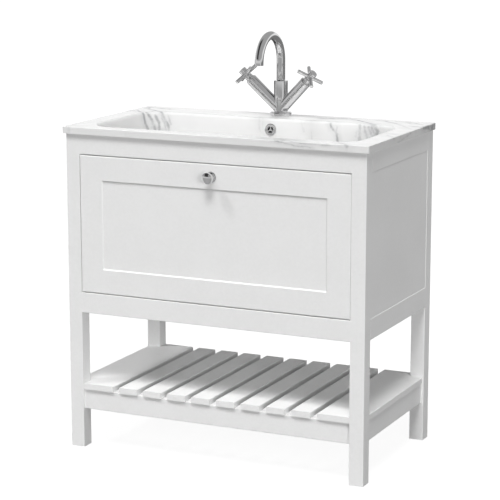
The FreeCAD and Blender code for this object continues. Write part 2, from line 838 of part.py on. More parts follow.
def make_runners():
    """Cabinet, middle and drawer members, each nested in the one outside it."""
    step = "runner_sheet + runner_gap"
    cabinet_web = "( runner_space - runner_sheet )"
    middle_web = "( runner_space - 2 * runner_sheet - runner_gap )"
    half = "runner_height / 2"
    members = {"cabinet": [], "middle": [], "drawer": []}
    for side, sign in SIDES:
        members["cabinet"].append(channel(
            "outer_channel_" + side, sign, cabinet_web,
            "-( runner_space - runner_lip )", half, screws_at=True))
        members["middle"].append(channel(
            "middle_channel_" + side, sign, middle_web,
            "-( %s + runner_sheet - runner_lip )" % middle_web, "( %s - ( %s ) )" % (half, step)))
        members["drawer"].append(channel(
            "inner_channel_" + side, sign, "0",
            "runner_lip", "( %s - 2 * ( %s ) )" % (half, step), screws_at=True))
    for name, pair in members.items():
        group("runner_%s_members" % name, pair)


# Screws

def screw(x, y, z, length, axis, turn_angle, head="runner_sheet"):
    """A flush headed screw from its head face, pointing along a turned Z axis."""
    shaft = doc.addObject("Part::Cylinder", "shaft")
    bind(shaft, Radius="screw_radius", Height=length)
    cap = doc.addObject("Part::Cylinder", "cap")
    bind(cap, Radius="screw_head_radius - screw_clearance", Height=head)
    whole = doc.addObject("Part::MultiFuse", "screw")
    whole.Shapes = [shaft, cap]
    whole.Placement = FreeCAD.Placement(FreeCAD.Vector(), FreeCAD.Rotation(axis, turn_angle))
    place(whole, x, y, z)
    return whole


X_LINE = FreeCAD.Vector(1, 0, 0)
Y_LINE = FreeCAD.Vector(0, 1, 0)
Z_LINE = FreeCAD.Vector(0, 0, 1)


def make_screws():
    frame_screws = []
    drawer_screws = []
    middle = "runner_front + runner_length / 2"
    for side, sign in SIDES:
        lead = "" if sign > 0 else "0 - "
        web_face = lead + "( leg_inner - runner_sheet )"
        inner_face = lead + "( box_half + runner_sheet )"
        for shift in runner_screw_shifts():
            spot = "%s + %s" % (middle, shift)
            frame_screws.append(screw(web_face, spot, "runner_axis",
                                      "runner_screw_length", Y_LINE, 90 * sign))
            drawer_screws.append(screw(inner_face, spot, "runner_axis",
                                       "side_screw_length", Y_LINE, -90 * sign))
    for x, z in front_screw_places():
        drawer_screws.append(screw(x, "behind_front + box_board + runner_sheet", z,
                                   "front_screw_length + runner_sheet", X_LINE, 90))
    drawer_screws.append(screw("0", "behind_front + runner_sheet", "knob_height",
                               "front_thickness + runner_sheet + knob_screw_depth - overrun",
                               X_LINE, 90))
    group("frame_screws", frame_screws)
    group("drawer_screws", drawer_screws)


def bore_battens(batten, sign):
    holes = new_sketch(batten, "YZ_Plane", "0" if sign > 0 else "batten_thickness")
    for shift in runner_screw_shifts():
        circle(holes, "runner_front + runner_length / 2 - legs_front_back + " + shift,
               "batten_height / 2", "screw_radius + screw_clearance")
    pocket(batten, holes, "runner_screw_length", backwards=sign > 0)


# Basin

def make_basin():
    """A one piece top: slab, bowl, overflow duct and a boss for the waste."""
    basin = new_body("basin")
    shell_outline = rounded_rectangle(new_sketch(basin, offset="top_height"), "0 - shell_half",
                                      "shell_half", "shell_front", "shell_back",
                                      "bowl_corner + bowl_wall")
    shell = pad(basin, shell_outline, "bowl_depth + bowl_wall", backwards=True,
                taper="0 - bowl_taper")
    foot = value("bowl_underside")
    round_edges(basin, shell, "bowl_floor_round + bowl_wall / 2",
                lambda edge: edge.BoundBox.ZMax < foot + CLOSE)
    slab_outline = rounded_rectangle(new_sketch(basin, offset="top_height"), "0 - basin_half",
                                     "basin_half", "basin_front", "wall_face", "basin_corner")
    slab = pad(basin, slab_outline, "basin_edge", backwards=True)
    top = value("top_height")
    round_edges(basin, slab, "arris", lambda edge: edge.BoundBox.ZMin > top - CLOSE)
    duct = rectangle(new_sketch(basin, offset="boss_bottom"), "0 - duct_half_width",
                     "duct_half_width", "waste_y", "duct_outer")
    pad(basin, duct, "slab_bottom - boss_bottom + basin_edge / 2")
    boss = circle(new_sketch(basin, offset="boss_bottom"), "0", "waste_y", "waste_boss_radius")
    pad(basin, boss, "waste_boss_drop - bowl_wall / 2")
    bowl_outline = rounded_rectangle(new_sketch(basin, offset="top_height"),
                                     "0 - bowl_half_width", "bowl_half_width", "bowl_front",
                                     "bowl_back", "bowl_corner")
    bowl = pocket(basin, bowl_outline, "bowl_depth", taper="0 - bowl_taper")
    floor_level = value("bowl_floor")

    def on_bowl_floor(edge):
        box = edge.BoundBox
        return abs(box.ZMax - floor_level) < CLOSE and abs(box.ZMin - floor_level) < CLOSE

    bowl = round_edges(basin, bowl, "bowl_floor_round", on_bowl_floor)
    reach = value("bowl_half_width")

    def on_bowl_rim(edge):
        box = edge.BoundBox
        return box.ZMin > top - CLOSE and max(-box.XMin, box.XMax) < reach + CLOSE

    round_edges(basin, bowl, "bowl_rim_round", on_bowl_rim)
    bore_basin(basin)


def bore_basin(basin):
    """The hollow overflow duct, its bore, the waste hole and the tap hole."""
    wide = "( duct_half_width - duct_wall )"
    level_run = rectangle(new_sketch(basin, offset="duct_floor"), "0 - " + wide, wide,
                          "waste_y", "duct_inner")
    pocket(basin, level_run, "duct_bore", backwards=True)
    upright_run = rectangle(new_sketch(basin, offset="duct_floor"), "0 - " + wide, wide,
                            "duct_inner - duct_bore", "duct_inner")
    pocket(basin, upright_run, "overflow_height + duct_head - duct_floor", backwards=True)
    overflow = circle(new_sketch(basin, "XZ_Plane", "0 - bowl_back + bowl_rim_round"), "0",
                      "overflow_height", "overflow_bore_radius")
    pocket(basin, overflow, "bowl_rim_round + bowl_wall")
    waste = circle(new_sketch(basin, offset="boss_bottom"), "0", "waste_y", "waste_hole_radius")
    pocket(basin, waste, "waste_boss_drop + overrun", backwards=True)
    recess = circle(new_sketch(basin, offset="bowl_floor"), "0", "waste_y",
                    "waste_flange_radius + waste_flange_clearance")
    pocket(basin, recess, "waste_flange_height")
    tap_hole = circle(new_sketch(basin, offset="top_height"), "0", "tap_y", "tap_hole_radius")
    pocket(basin, tap_hole, "basin_edge + overrun")


def make_overflow_ring():
    """A lipped ring with three spokes, square to the sloping bowl wall."""
    ring = new_body("overflow_ring")
    section = polygon(new_sketch(ring), [
        ("overflow_ring_inner_radius", "0 - overflow_ring_lip"),
        ("overflow_ring_radius", "0 - overflow_ring_lip"),
        ("overflow_ring_radius", "0"),
        ("overflow_sleeve_radius", "0"),
        ("overflow_sleeve_radius", "overflow_sleeve_length"),
        ("overflow_ring_inner_radius", "overflow_sleeve_length"),
    ])
    turn(ring, section, "Y_Axis")
    spoke_outline = rectangle(new_sketch(ring, "XZ_Plane"), "0 - overflow_spoke / 2",
                              "overflow_spoke / 2", "0",
                              "overflow_ring_inner_radius + overflow_spoke / 4")
    spoke = pad(ring, spoke_outline, "overflow_ring_lip / 2")
    spokes = ring.newObject("PartDesign::PolarPattern", "Spokes")
    spokes.Originals = [spoke]
    spokes.Axis = (plane_of(ring, "Y_Axis"), [""])
    spokes.Angle = 360
    spokes.Occurrences = 3
    ring.Tip = spokes
    hub = circle(new_sketch(ring, "XZ_Plane"), "0", "0", "overflow_hub_radius")
    pad(ring, hub, "overflow_ring_lip / 2")
    ring.Placement = FreeCAD.Placement(FreeCAD.Vector(),
                                       FreeCAD.Rotation(X_LINE, -value("bowl_taper")))
    place(ring, "0", "overflow_wall", "overflow_height")


# Waste

def make_waste_body():
    """The flanged tube, with overflow slots, a bar that guides the plug and a narrower tail."""
    tube = new_body("waste_body", "0", "waste_y", "waste_tail")
    section = polygon(new_sketch(tube, "XZ_Plane"), [
        ("waste_bore_radius", "0"),
        ("waste_thread_radius", "0"),
        ("waste_thread_radius", "waste_shoulder - waste_tail"),
        ("waste_shank_radius", "waste_shoulder - waste_tail"),
        ("waste_shank_radius", "waste_length - waste_flange_height"),
        ("waste_flange_radius", "waste_length - waste_flange_height"),
        ("waste_flange_radius", "waste_length"),
        ("waste_bore_radius", "waste_length"),
    ])
    turn(tube, section)
    slot = rectangle(new_sketch(tube, "XZ_Plane"), "0 - waste_slot_width / 2",
                     "waste_slot_width / 2", "duct_floor - waste_tail",
                     "duct_floor + duct_bore - waste_tail")
    pocket(tube, slot, "2 * waste_flange_radius", both=True)
    bar_height = "waste_length - guide_drop - guide_bar_height"
    bar = rectangle(new_sketch(tube, offset=bar_height),
                    "0 - ( waste_bore_radius + waste_shank_radius ) / 2",
                    "( waste_bore_radius + waste_shank_radius ) / 2",
                    "0 - guide_bar_width / 2", "guide_bar_width / 2")
    pad(tube, bar, "guide_bar_height")
    boss = circle(new_sketch(tube, offset=bar_height), "0", "0", "guide_boss_radius")
    pad(tube, boss, "guide_bar_height")
    bore = circle(new_sketch(tube, offset=bar_height), "0", "0",
                  "plug_stem_radius + thread_clearance")
    pocket(tube, bore, "guide_bar_height", backwards=True)


def make_waste_plug():
    plug = new_body("waste_plug", "0", "waste_y", "waste_top + plug_seat_gap")
    section = polygon(new_sketch(plug, "XZ_Plane"), [
        ("0", "0 - plug_stem_length"),
        ("plug_stem_radius", "0 - plug_stem_length"),
        ("plug_stem_radius", "0"),
        ("plug_radius", "0"),
        ("plug_radius", "plug_height"),
        ("0", "plug_height"),
    ])
    shape = turn(plug, section)
    top = value("plug_height")
    round_edges(plug, shape, "plug_round",
                lambda edge: edge.BoundBox.ZMin > top - CLOSE and edge.BoundBox.XLength > top)


def washer(label, y, z, inner, outer, height):
    ring = new_body(label, "0", y, z)
    sketch = circle(circle(new_sketch(ring), "0", "0", outer), "0", "0", inner)
    pad(ring, sketch, height)
    return ring


def hexagon_nut(label, y, z, inner, outer, height):
    """A hexagonal nut, with its size across the corners."""
    block = doc.addObject("Part::Prism", "hexagon")
    block.Polygon = 6
    bind(block, Circumradius=outer, Height=height)
    bore = doc.addObject("Part::Cylinder", "bore")
    bind(bore, Radius=inner, Height=height)
    nut = doc.addObject("Part::Cut", label)
    nut.Label = label
    nut.Base = block
    nut.Tool = bore
    place(nut, "0", y, z)


def make_waste_fixings():
    inner = "waste_shank_radius + thread_clearance"
    washer("waste_washer", "waste_y", "waste_washer_bottom", inner, "waste_washer_radius",
           "waste_washer_height")
    hexagon_nut("waste_nut", "waste_y", "waste_nut_bottom", inner, "waste_nut_radius",
                "waste_nut_height")


# Tap

def make_tap_base():
    ring = new_body("tap_base", "0", "tap_y", "top_height")
    socket = "( tap_body_radius + tap_socket_clearance )"
    shelf = "tap_base_height - tap_socket_depth"
    section = polygon(new_sketch(ring, "XZ_Plane"), [
        ("tap_base_bore_radius", "0"),
        ("tap_base_radius", "0"),
        ("tap_base_radius", "tap_base_height"),
        (socket, "tap_base_height"),
        (socket, shelf),
        ("tap_base_bore_radius", shelf),
    ])
    shape = turn(ring, section)
    outer = value("tap_base_radius")
    top = value("tap_base_height")
    round_edges(ring, shape, "tap_base_round", lambda edge: (
        edge.BoundBox.ZMin > top - CLOSE and edge.BoundBox.XLength > 2 * outer - CLOSE))


def along_arm(item, sign, distance, turned=0):
    """Put a sub-part on an arm's axis, its Z pointing out along the arm."""
    sweep = value("arm_sweep")
    yaw = -sweep if sign > 0 else 180 + sweep
    lean = FreeCAD.Rotation(Y_LINE, 90 - value("arm_rise"))
    aim = FreeCAD.Rotation(Z_LINE, yaw).multiply(lean)
    item.Placement = FreeCAD.Placement(FreeCAD.Vector(), aim.multiply(
        FreeCAD.Rotation(Z_LINE, turned)))
    reach = "( %s )" % distance
    place(item, "%d * arm_outward * %s" % (sign, reach), "tap_y - arm_forward * " + reach,
          "arm_start_height + arm_upward * " + reach)
    return item


def rod(name, radius, length):
    """A plain round bar, used to build the tap's turned parts."""
    bar = doc.addObject("Part::Cylinder", name)
    bind(bar, Radius=radius, Height=length)
    return bar


def fused(name, shapes):
    whole = doc.addObject("Part::MultiFuse", name)
    whole.Shapes = shapes
    return whole


def cut(name, base, tool):
    rest = doc.addObject("Part::Cut", name)
    rest.Base = base
    rest.Tool = tool
    return rest


def make_tap_body():
    """An upright column with two slanted valve arms, bored for all it holds."""
    column = place(rod("column", "tap_body_radius", "tap_body_top - tap_foot"),
                   "0", "tap_y", "tap_foot")
    socket = rod("spout_socket", "spout_plug_radius + spout_fit", "spout_plug_length + overrun")
    bores = [place(socket, "0", "tap_y", "tap_body_top - spout_plug_length")]
    arms = []
    for side, sign in SIDES:
        arms.append(along_arm(rod("arm", "arm_radius", "arm_length"), sign, "0"))
        seat = rod("valve_pocket", "cartridge_radius + cartridge_clearance",
                   "cartridge_length + overrun")
        bores.append(along_arm(seat, sign, "arm_length - cartridge_length"))
        inlet = rod("inlet", "inlet_radius", "inlet_depth + overrun")
        bores.append(place(inlet, "%d * inlet_spacing / 2" % sign, "tap_y + inlet_set_back",
                           "tap_foot - overrun"))
    stud_hole = rod("stud_hole", "stud_radius + thread_clearance", "stud_grip + overrun")
    bores.append(place(stud_hole, "0", "tap_y - stud_set_forward", "tap_foot - overrun"))
    body = cut("tap_body", fused("column_and_arms", [column] + arms), fused("tap_bores", bores))
    body.Label = "tap_body"


def make_cartridges():
    """The two ceramic disc valves, one in each arm."""
    pair = []
    for side, sign in SIDES:
        case = along_arm(rod("valve_case", "cartridge_radius", "cartridge_length"), sign,
                         "arm_length - cartridge_length")
        hole = along_arm(rod("spindle_hole", "spindle_radius + spindle_fit",
                             "spindle_depth + overrun"), sign, "arm_length - spindle_depth")
        pair.append(cut("valve", case, hole))
    group("valve_cartridges", pair)


def make_tap_fixings():
    stud_y = "tap_y - stud_set_forward"
    stud_top = "tap_foot + stud_grip"
    stud = new_body("tap_stud", "0", stud_y, stud_top + " - stud_length")
    pad(stud, circle(new_sketch(stud), "0", "0", "stud_radius"), "stud_length")
    plate_z = "slab_bottom - horseshoe_thickness"
    plate = new_body("horseshoe_washer", "0", "tap_y", plate_z)
    disc = circle(new_sketch(plate), "0", "0", "horseshoe_radius")
    pad(plate, disc, "horseshoe_thickness")
    slot = rectangle(new_sketch(plate), "0 - horseshoe_slot / 2", "horseshoe_slot / 2",
                     "stud_radius - stud_set_forward + overrun", "horseshoe_radius + overrun")
    pocket(plate, slot, "horseshoe_thickness", backwards=True)
    hole = circle(new_sketch(plate), "0", "0 - stud_set_forward", "stud_radius + thread_clearance")
    pocket(plate, hole, "horseshoe_thickness", backwards=True)
    hexagon_nut("stud_nut", stud_y, plate_z + " - stud_nut_height",
                "stud_radius + thread_clearance", "stud_nut_radius", "stud_nut_height")


def make_spout():
    """A swan neck tube that turns in the top of the tap body."""
    spout = new_body("spout", "0", "tap_y - spout_bend", "spout_bend_height")

    def ring_sketch(y, outer, inner, offset="0"):
        sketch = new_sketch(spout, offset=offset)
        return circle(circle(sketch, "0", y, outer), "0", y, inner)

    riser = "spout_bend_height - spout_seat"
    bend = turn(spout, ring_sketch("spout_bend", "spout_radius", "spout_bore_radius"), "X_Axis")
    bend.Angle = 180
    pad(spout, ring_sketch("spout_bend", "spout_radius", "spout_bore_radius"), riser,
        backwards=True)
    pad(spout, ring_sketch("spout_bend", "spout_plug_radius", "spout_plug_bore_radius",
                           "0 - ( %s )" % riser), "spout_plug_length", backwards=True)
    pad(spout, ring_sketch("0 - spout_bend", "spout_radius", "spout_bore_radius"), "spout_tip",
        backwards=True)


def make_straightener():
    """The ring and crossed bars that smooth the water at the spout's end."""
    bottom = "spout_bend_height - spout_tip + straightener_set_back"
    ring = washer("flow_straightener", "tap_y - 2 * spout_bend", bottom,
                  "straightener_bore_radius", "spout_bore_radius",
                  "spout_tip - straightener_set_back")
    for turned in (False, True):
        long_side = "straightener_bore_radius + straightener_bar / 2"
        spans = [("0 - " + long_side.replace(" + ", " - "), long_side),
                 ("0 - straightener_bar / 2", "straightener_bar / 2")]
        if turned:
            spans.reverse()
        bar = rectangle(new_sketch(ring), *spans[0], *spans[1])
        pad(ring, bar, "straightener_bar")


def make_handles():
    """Cross handles: a turned neck, hub and cap with two crossed bars."""
    neck_start = "( arm_length + handle_gap - handle_cross_distance )"
    for side, sign in SIDES:
        handle = new_body("handle_" + side)
        section = polygon(new_sketch(handle, "XZ_Plane"), [
            ("0", neck_start + " - spindle_depth + handle_gap"),
            ("spindle_radius", neck_start + " - spindle_depth + handle_gap"),
            ("spindle_radius", neck_start),
            ("handle_neck_radius + handle_flare_width", neck_start),
            ("handle_neck_radius + handle_flare_width", neck_start + " + handle_flare_lip"),
            ("handle_neck_radius", neck_start + " + handle_flare_height"),
            ("handle_neck_radius", "0 - handle_hub_half_height"),
            ("handle_hub_radius", "0 - handle_hub_half_height"),
            ("handle_hub_radius", "handle_hub_half_height"),
            ("handle_cap_radius", "handle_hub_half_height"),
            ("handle_cap_radius", "handle_cap_reach"),
            ("0", "handle_cap_reach"),
        ])
        shape = turn(handle, section)
        top = value("handle_cap_reach")
        shape = round_edges(handle, shape, "handle_cap_round",
                            lambda edge: edge.BoundBox.ZMin > top - CLOSE)
        for role in ("XZ_Plane", "YZ_Plane"):
            bar = circle(new_sketch(handle, role), "0", "0", "handle_bar_radius")
            shape = pad(handle, bar, "2 * handle_bar_reach", both=True)
        far = value("handle_bar_reach")

        def on_bar_end(edge):
            box = edge.BoundBox
            return (min(abs(box.XMin), abs(box.XMax)) > far - CLOSE
                    or min(abs(box.YMin), abs(box.YMax)) > far - CLOSE)

        round_edges(handle, shape, "handle_bar_round", on_bar_end)
        along_arm(handle, sign, "handle_cross_distance", value("handle_turn_" + side))


# The whole unit

make_legs()
make_cross_rails()
bore_wall_holes(doc.getObject("back_top_rail"))
make_sides()
for batten_side, batten_sign in SIDES:
    bore_battens(doc.getObject("runner_batten_" + batten_side), batten_sign)
make_cabinet_floor()
make_glides()
make_shelf_rails()
make_slats()
make_end_slats()
make_basin()
make_overflow_ring()
make_waste_body()
make_waste_plug()
make_waste_fixings()
make_tap_base()
make_tap_body()
make_cartridges()
make_tap_fixings()
make_spout()
make_straightener()
make_handles()
make_drawer_front()
make_drawer_box()
make_knob()
make_runners()
make_screws()
doc.recompute()


# Check every object, then write one file for each sub-part

def sub_parts():
    """The objects that no other object is built from."""
    used = set()
    for item in doc.Objects:
        if item.TypeId in ("Part::MultiFuse", "Part::Cut", "Part::Compound"):
            used.update(child.Name for child in item.OutList)
    kinds = ("PartDesign::Body", "Part::Cut", "Part::Compound")
    return [item for item in doc.Objects if item.TypeId in kinds and item.Name not in used]


def faults():
    """A line for each object that could not be made, with the sub-part that holds it."""
    found = []
    for item in doc.Objects:
        if "Invalid" in item.State or "Error" in item.State:
            holders = ", ".join(sorted({holder.Label for holder in item.InListRecursive}))
            found.append("%s in %s could not be made" % (item.Label, holders))
    for part in sub_parts():
        if part.Shape.isNull() or not part.Shape.isValid():
            found.append("%s has no sound shape" % part.Label)
    return found


if faults():
    raise RuntimeError("\n".join(faults()))

os.makedirs("parts", exist_ok=True)
for part in sub_parts():
    part.Shape.exportStep("parts/%s.step" % part.Label)
    print("%-26s %2d solids %12.1f mm3" % (part.Label, len(part.Shape.Solids), part.Shape.Volume))
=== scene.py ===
import json
import math

import bmesh
import bpy
from mathutils import Matrix, Vector


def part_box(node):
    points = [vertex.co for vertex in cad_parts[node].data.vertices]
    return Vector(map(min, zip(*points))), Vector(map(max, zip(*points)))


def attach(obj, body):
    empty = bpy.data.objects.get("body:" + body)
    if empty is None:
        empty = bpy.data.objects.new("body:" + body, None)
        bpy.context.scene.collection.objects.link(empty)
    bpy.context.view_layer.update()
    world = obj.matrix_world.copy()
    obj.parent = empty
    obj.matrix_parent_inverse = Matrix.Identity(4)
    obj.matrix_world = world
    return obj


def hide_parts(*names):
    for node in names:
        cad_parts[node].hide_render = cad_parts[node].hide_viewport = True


# White vanity unit: painted frame, deep drawer, slatted shelf, marble effect basin and mixer tap.
# Lengths are in metres. X runs to the right, Y to the wall and Z up.

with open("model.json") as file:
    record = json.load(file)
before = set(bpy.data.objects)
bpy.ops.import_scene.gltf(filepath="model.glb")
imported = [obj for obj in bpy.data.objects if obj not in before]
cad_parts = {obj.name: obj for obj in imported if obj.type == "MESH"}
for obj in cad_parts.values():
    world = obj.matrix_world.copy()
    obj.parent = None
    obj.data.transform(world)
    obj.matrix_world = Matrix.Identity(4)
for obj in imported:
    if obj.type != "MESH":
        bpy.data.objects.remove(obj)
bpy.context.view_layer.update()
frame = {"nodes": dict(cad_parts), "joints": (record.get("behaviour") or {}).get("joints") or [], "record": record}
nodes = frame["nodes"]

FULL_TURN = 2 * math.pi
QUARTER_TURN = math.pi / 2
MILLIMETRE = 0.001


# Shader nodes

# Where a mix node keeps its colour sockets, among those for other kinds of value
MIX_SHARE = 0
MIX_FIRST = 6
MIX_SECOND = 7
MIX_RESULT = 2

# The range that most of a noise's values fall in
NOISE_MIDDLE = (0.3, 0.7)


def add_node(tree, kind, inputs=None, **settings):
    """Make a node, set its properties, and set or link its inputs by name or place."""
    made = tree.nodes.new(kind)
    for name, value in settings.items():
        setattr(made, name, value)
    for key, value in (inputs or {}).items():
        if isinstance(value, bpy.types.NodeSocket):
            tree.links.new(value, made.inputs[key])
        else:
            made.inputs[key].default_value = value
    return made


def maths(tree, operation, first, second=0.0, clamp=False):
    made = add_node(tree, "ShaderNodeMath", {0: first, 1: second}, operation=operation)
    made.use_clamp = clamp
    return made.outputs[0]


def vector_maths(tree, operation, first, second=(0, 0, 0)):
    made = add_node(tree, "ShaderNodeVectorMath", {0: first, 1: second}, operation=operation)
    single = operation in ("DOT_PRODUCT", "LENGTH", "DISTANCE")
    return made.outputs["Value" if single else "Vector"]


def scaled_and_added(tree, first, factor, second):
    """The first vector times a factor for each direction, plus the second."""
    made = add_node(tree, "ShaderNodeVectorMath", {0: first, 1: factor, 2: second},
                    operation="MULTIPLY_ADD")
    return made.outputs["Vector"]


def spread(tree, value, source, target=(0.0, 1.0)):
    """Carry a value smoothly from one range to another, and hold it at the ends."""
    made = add_node(tree, "ShaderNodeMapRange",
                    {"Value": value, "From Min": source[0], "From Max": source[1],
                     "To Min": target[0], "To Max": target[1]}, interpolation_type="SMOOTHSTEP")
    return made.outputs["Result"]


def object_place(tree):
    return add_node(tree, "ShaderNodeTexCoord").outputs["Object"]


def stretched(tree, place, scale):
    return add_node(tree, "ShaderNodeMapping", {"Vector": place, "Scale": scale}).outputs[0]


def noise(tree, place, scale, detail=2.0, colour=False):
    made = add_node(tree, "ShaderNodeTexNoise",
                    {"Vector": place, "Scale": scale, "Detail": detail})
    return made.outputs["Color" if colour else "Fac"]


def opaque(colour):
    """A colour with its alpha, or a socket just as it is."""
    return colour if isinstance(colour, bpy.types.NodeSocket) else (*colour, 1)


def blend_colours(tree, share, first, second):
    """Go from the first colour to the second as the share goes from 0 to 1."""
    made = add_node(tree, "ShaderNodeMix",
                    {MIX_SHARE: share, MIX_FIRST: opaque(first), MIX_SECOND: opaque(second)},
                    data_type="RGBA")
    return made.outputs[MIX_RESULT]


def bumps(tree, height, strength, distance):
    made = add_node(tree, "ShaderNodeBump",
                    {"Height": height, "Strength": strength, "Distance": distance})
    return made.outputs["Normal"]


def new_finish(name):
    """A material with its node tree and its main shader."""
    finish = bpy.data.materials.new(name)
    finish.use_nodes = True
    tree = finish.node_tree
    return finish, tree, tree.nodes["Principled BSDF"]


def connect(tree, shader, **links):
    """Link sockets to the shader's inputs, whose spaces are written as underscores."""
    for name, socket in links.items():
        tree.links.new(socket, shader.inputs[name.replace("_", " ")])


def set_inputs(shader, **values):
    """Set the shader's inputs that are the same all over the piece."""
    for name, value in values.items():
        shader.inputs[name.replace("_", " ")].default_value = value


# Painted wood

PAINT_WHITE = (0.895, 0.895, 0.893)
PAINT_SHADE = (0.872, 0.872, 0.869)
PAINT_TONE_RANGE = (0.75, 1.25)
FLECK_HEIGHT = 0.6


def satin_paint():
    """Sprayed white paint with a faint peel and a slightly uneven sheen."""
    finish, tree, shader = new_finish("satin_white_paint")
    place = object_place(tree)
    cloud = noise(tree, place, scale=9.0, detail=3.0)
    fleck = noise(tree, place, scale=140.0, detail=4.0)
    peel = noise(tree, place, scale=900.0)
    tone = spread(tree, maths(tree, "ADD", cloud, fleck), PAINT_TONE_RANGE)
    height = maths(tree, "ADD", maths(tree, "MULTIPLY", fleck, FLECK_HEIGHT), peel)
    connect(tree, shader,
            Base_Color=blend_colours(tree, tone, PAINT_SHADE, PAINT_WHITE),
            Roughness=spread(tree, cloud, NOISE_MIDDLE, (0.40, 0.50)),
            Normal=bumps(tree, height, strength=0.12, distance=0.0002))
    return finish


# Marble resin

MARBLE_WHITE = (0.835, 0.835, 0.832)
MARBLE_CLOUD = (0.765, 0.767, 0.771)
VEIN_GREY = (0.300, 0.305, 0.315)

# Each vein: half width, strength, then the points that it runs through, all in millimetres
VEINS = (
    (9.0, 0.95, (-405, 121, 822), (-390, 140, 822), (-366, 114, 822)),
    (7.1, 0.81, (-366, 114, 822), (-350, 98, 819), (-345, 100, 801), (-336, 112, 760)),
    (9.8, 0.84, (-391, 186, 822), (-386, 207, 822), (-346, 203, 822), (-323, 199, 822)),
    (8.2, 0.84, (-391, 203, 822), (-371, 172, 822), (-332, 148, 822), (-316, 136, 822)),
    (7.1, 0.72, (-316, 136, 822), (-306, 133, 805), (-293, 132, 787), (-284, 130, 760)),
    (7.1, 0.81, (-348, 111, 822), (-336, 117, 806), (-329, 120, 788), (-322, 121, 760)),
    (6.8, 0.72, (-341, 132, 822), (-326, 125, 810), (-319, 128, 793), (-314, 127, 765)),
    (6.8, 0.64, (-318, 136, 822), (-311, 132, 808), (-303, 132, 790), (-297, 131, 770)),
    (6.0, 0.38, (-304, 141, 822), (-294, 135, 810), (-285, 133, 790)),
    (16.0, 0.36, (-330, 118, 780), (-298, 131, 776)),
    (6.0, 0.19, (-36, 139, 822), (-35, 135, 812), (-31, 133, 790)),
    (4.2, 0.15, (-26, 137, 820), (-22, 134, 795)),
    (9.0, 0.31, (66, -196, 822), (84, -193, 822)),
    # A broad grey band across the deck to the right of the tap, laid on with the same strokes as the veins.
    (13.5, 0.84, (109, 197, 822), (160, 208, 822), (190, 212, 822)),
    (10.5, 0.95, (190, 212, 822), (226, 187, 822), (272, 146, 822)),
    (10.2, 0.81, (272, 146, 822), (284, 136, 817), (290, 135, 806), (286, 133, 793),
     (270, 132, 782)),
    (6.8, 0.21, (185, 194, 822), (242, 153, 822), (243, 137, 819), (236, 133, 790)),
    (6.3, 0.75, (276, 135, 815), (282, 134, 800)),
    (7.1, 0.64, (268, 135, 815), (274, 134, 804), (281, 132, 784)),
    (7.1, 0.51, (257, 135, 816), (264, 133, 796), (266, 131, 770)),
    (7.6, 0.47, (244, 136, 818), (248, 134, 800), (244, 131, 770)),
    (20.4, 0.26, (262, 134, 812), (268, 132, 788)),
    (5.8, 0.72, (165, 136, 818), (170, 134, 808), (182, 133, 796), (184, 132, 778),
     (190, 129, 750)),
    (5.1, 0.51, (181, 145, 822), (184, 135, 811), (181, 133, 799)),
    (5.1, 0.19, (82, 138, 820), (89, 135, 808), (93, 133, 794)),
    (4.2, 0.21, (112, 133, 794), (119, 130, 760)),
    (9.0, 0.59, (324, -197, 822), (341, -207, 822), (353, -219, 820)),
    (9.0, 0.70, (255, 218, 822), (279, 212, 822), (323, 180, 822)),
    (7.5, 0.45, (323, 180, 822), (355, 143, 822), (395, 92, 822)),
    (9.0, 0.70, (310, 214, 822), (341, 216, 822), (368, 203, 822), (392, 182, 822)),
    (7.5, 0.53, (344, 209, 822), (358, 186, 822), (376, 194, 822)),
    (7.5, 0.42, (367, 150, 822), (390, 155, 822)),
    (9.0, 0.39, (365, -1, 822), (382, -3, 822), (404, -13, 822)),
    (9.0, 0.39, (382, -31, 822), (406, -58, 822)),
    (3.0, 0.45, (186, -212, 822), (215, -219, 821), (262, -219, 818), (311, -219, 818)),
    (3.5, 0.65, (165, -217, 822), (186, -220, 818), (206, -220, 815), (220, -220, 812)),
    (3.5, 0.60, (220, -220, 812), (250, -220, 812), (267, -220, 810)),
    (4.0, 0.40, (-120, 70, 702), (-60, 10, 702), (20, -30, 702), (90, -110, 704)),
    (3.0, 0.30, (-60, 10, 702), (-90, -60, 702), (-180, -120, 712)),
    (5.0, 0.35, (-407, -40, 818), (-407, 20, 812), (-407, 60, 806)),
    (5.0, 0.35, (407, 60, 819), (407, 20, 812), (407, -30, 807)),
    (11.0, 0.95, (407, 241, 817), (407, 205, 815), (407, 178, 819)),
    (10.0, 0.80, (407, 178, 819), (407, 150, 822), (385, 140, 822)),
    (9.0, 0.80, (407, 238, 808), (407, 200, 811)),
)

# How far a vein that is there already pushes the next ones aside
VEIN_PUSH = 0.00001

# Shares of a vein's half width: its core fades between the first two, its cloud ends at the last
VEIN_CORE_FADE = (0.15, 1.0)
VEIN_CLOUD_REACH = 3.2
VEIN_CLOUD_STRENGTH = 0.34

# Each wander of the veins: the noise's scale, then how far it pushes along X, Y and Z
BROAD_WANDER = (26.0, (0.014, 0.008, 0.008))
FINE_WANDER = (130.0, (0.005, 0.003, 0.003))

# Noise values between which a vein goes from faint to whole, and how faint it gets
BREAK_RANGE = (0.32, 0.62)
FAINTEST = 0.45

# Threads: the noise's distance from its level at their edge, their strength, and where they are
THREAD_HALF = 0.02
THREAD_STRENGTH = 0.16
THREAD_PATCH_RANGE = (0.50, 0.68)

# Noise values between which the clouds in the white rise to their full strength
CLOUD_RANGE = (0.45, 0.75)
CLOUD_STRENGTH = 0.35


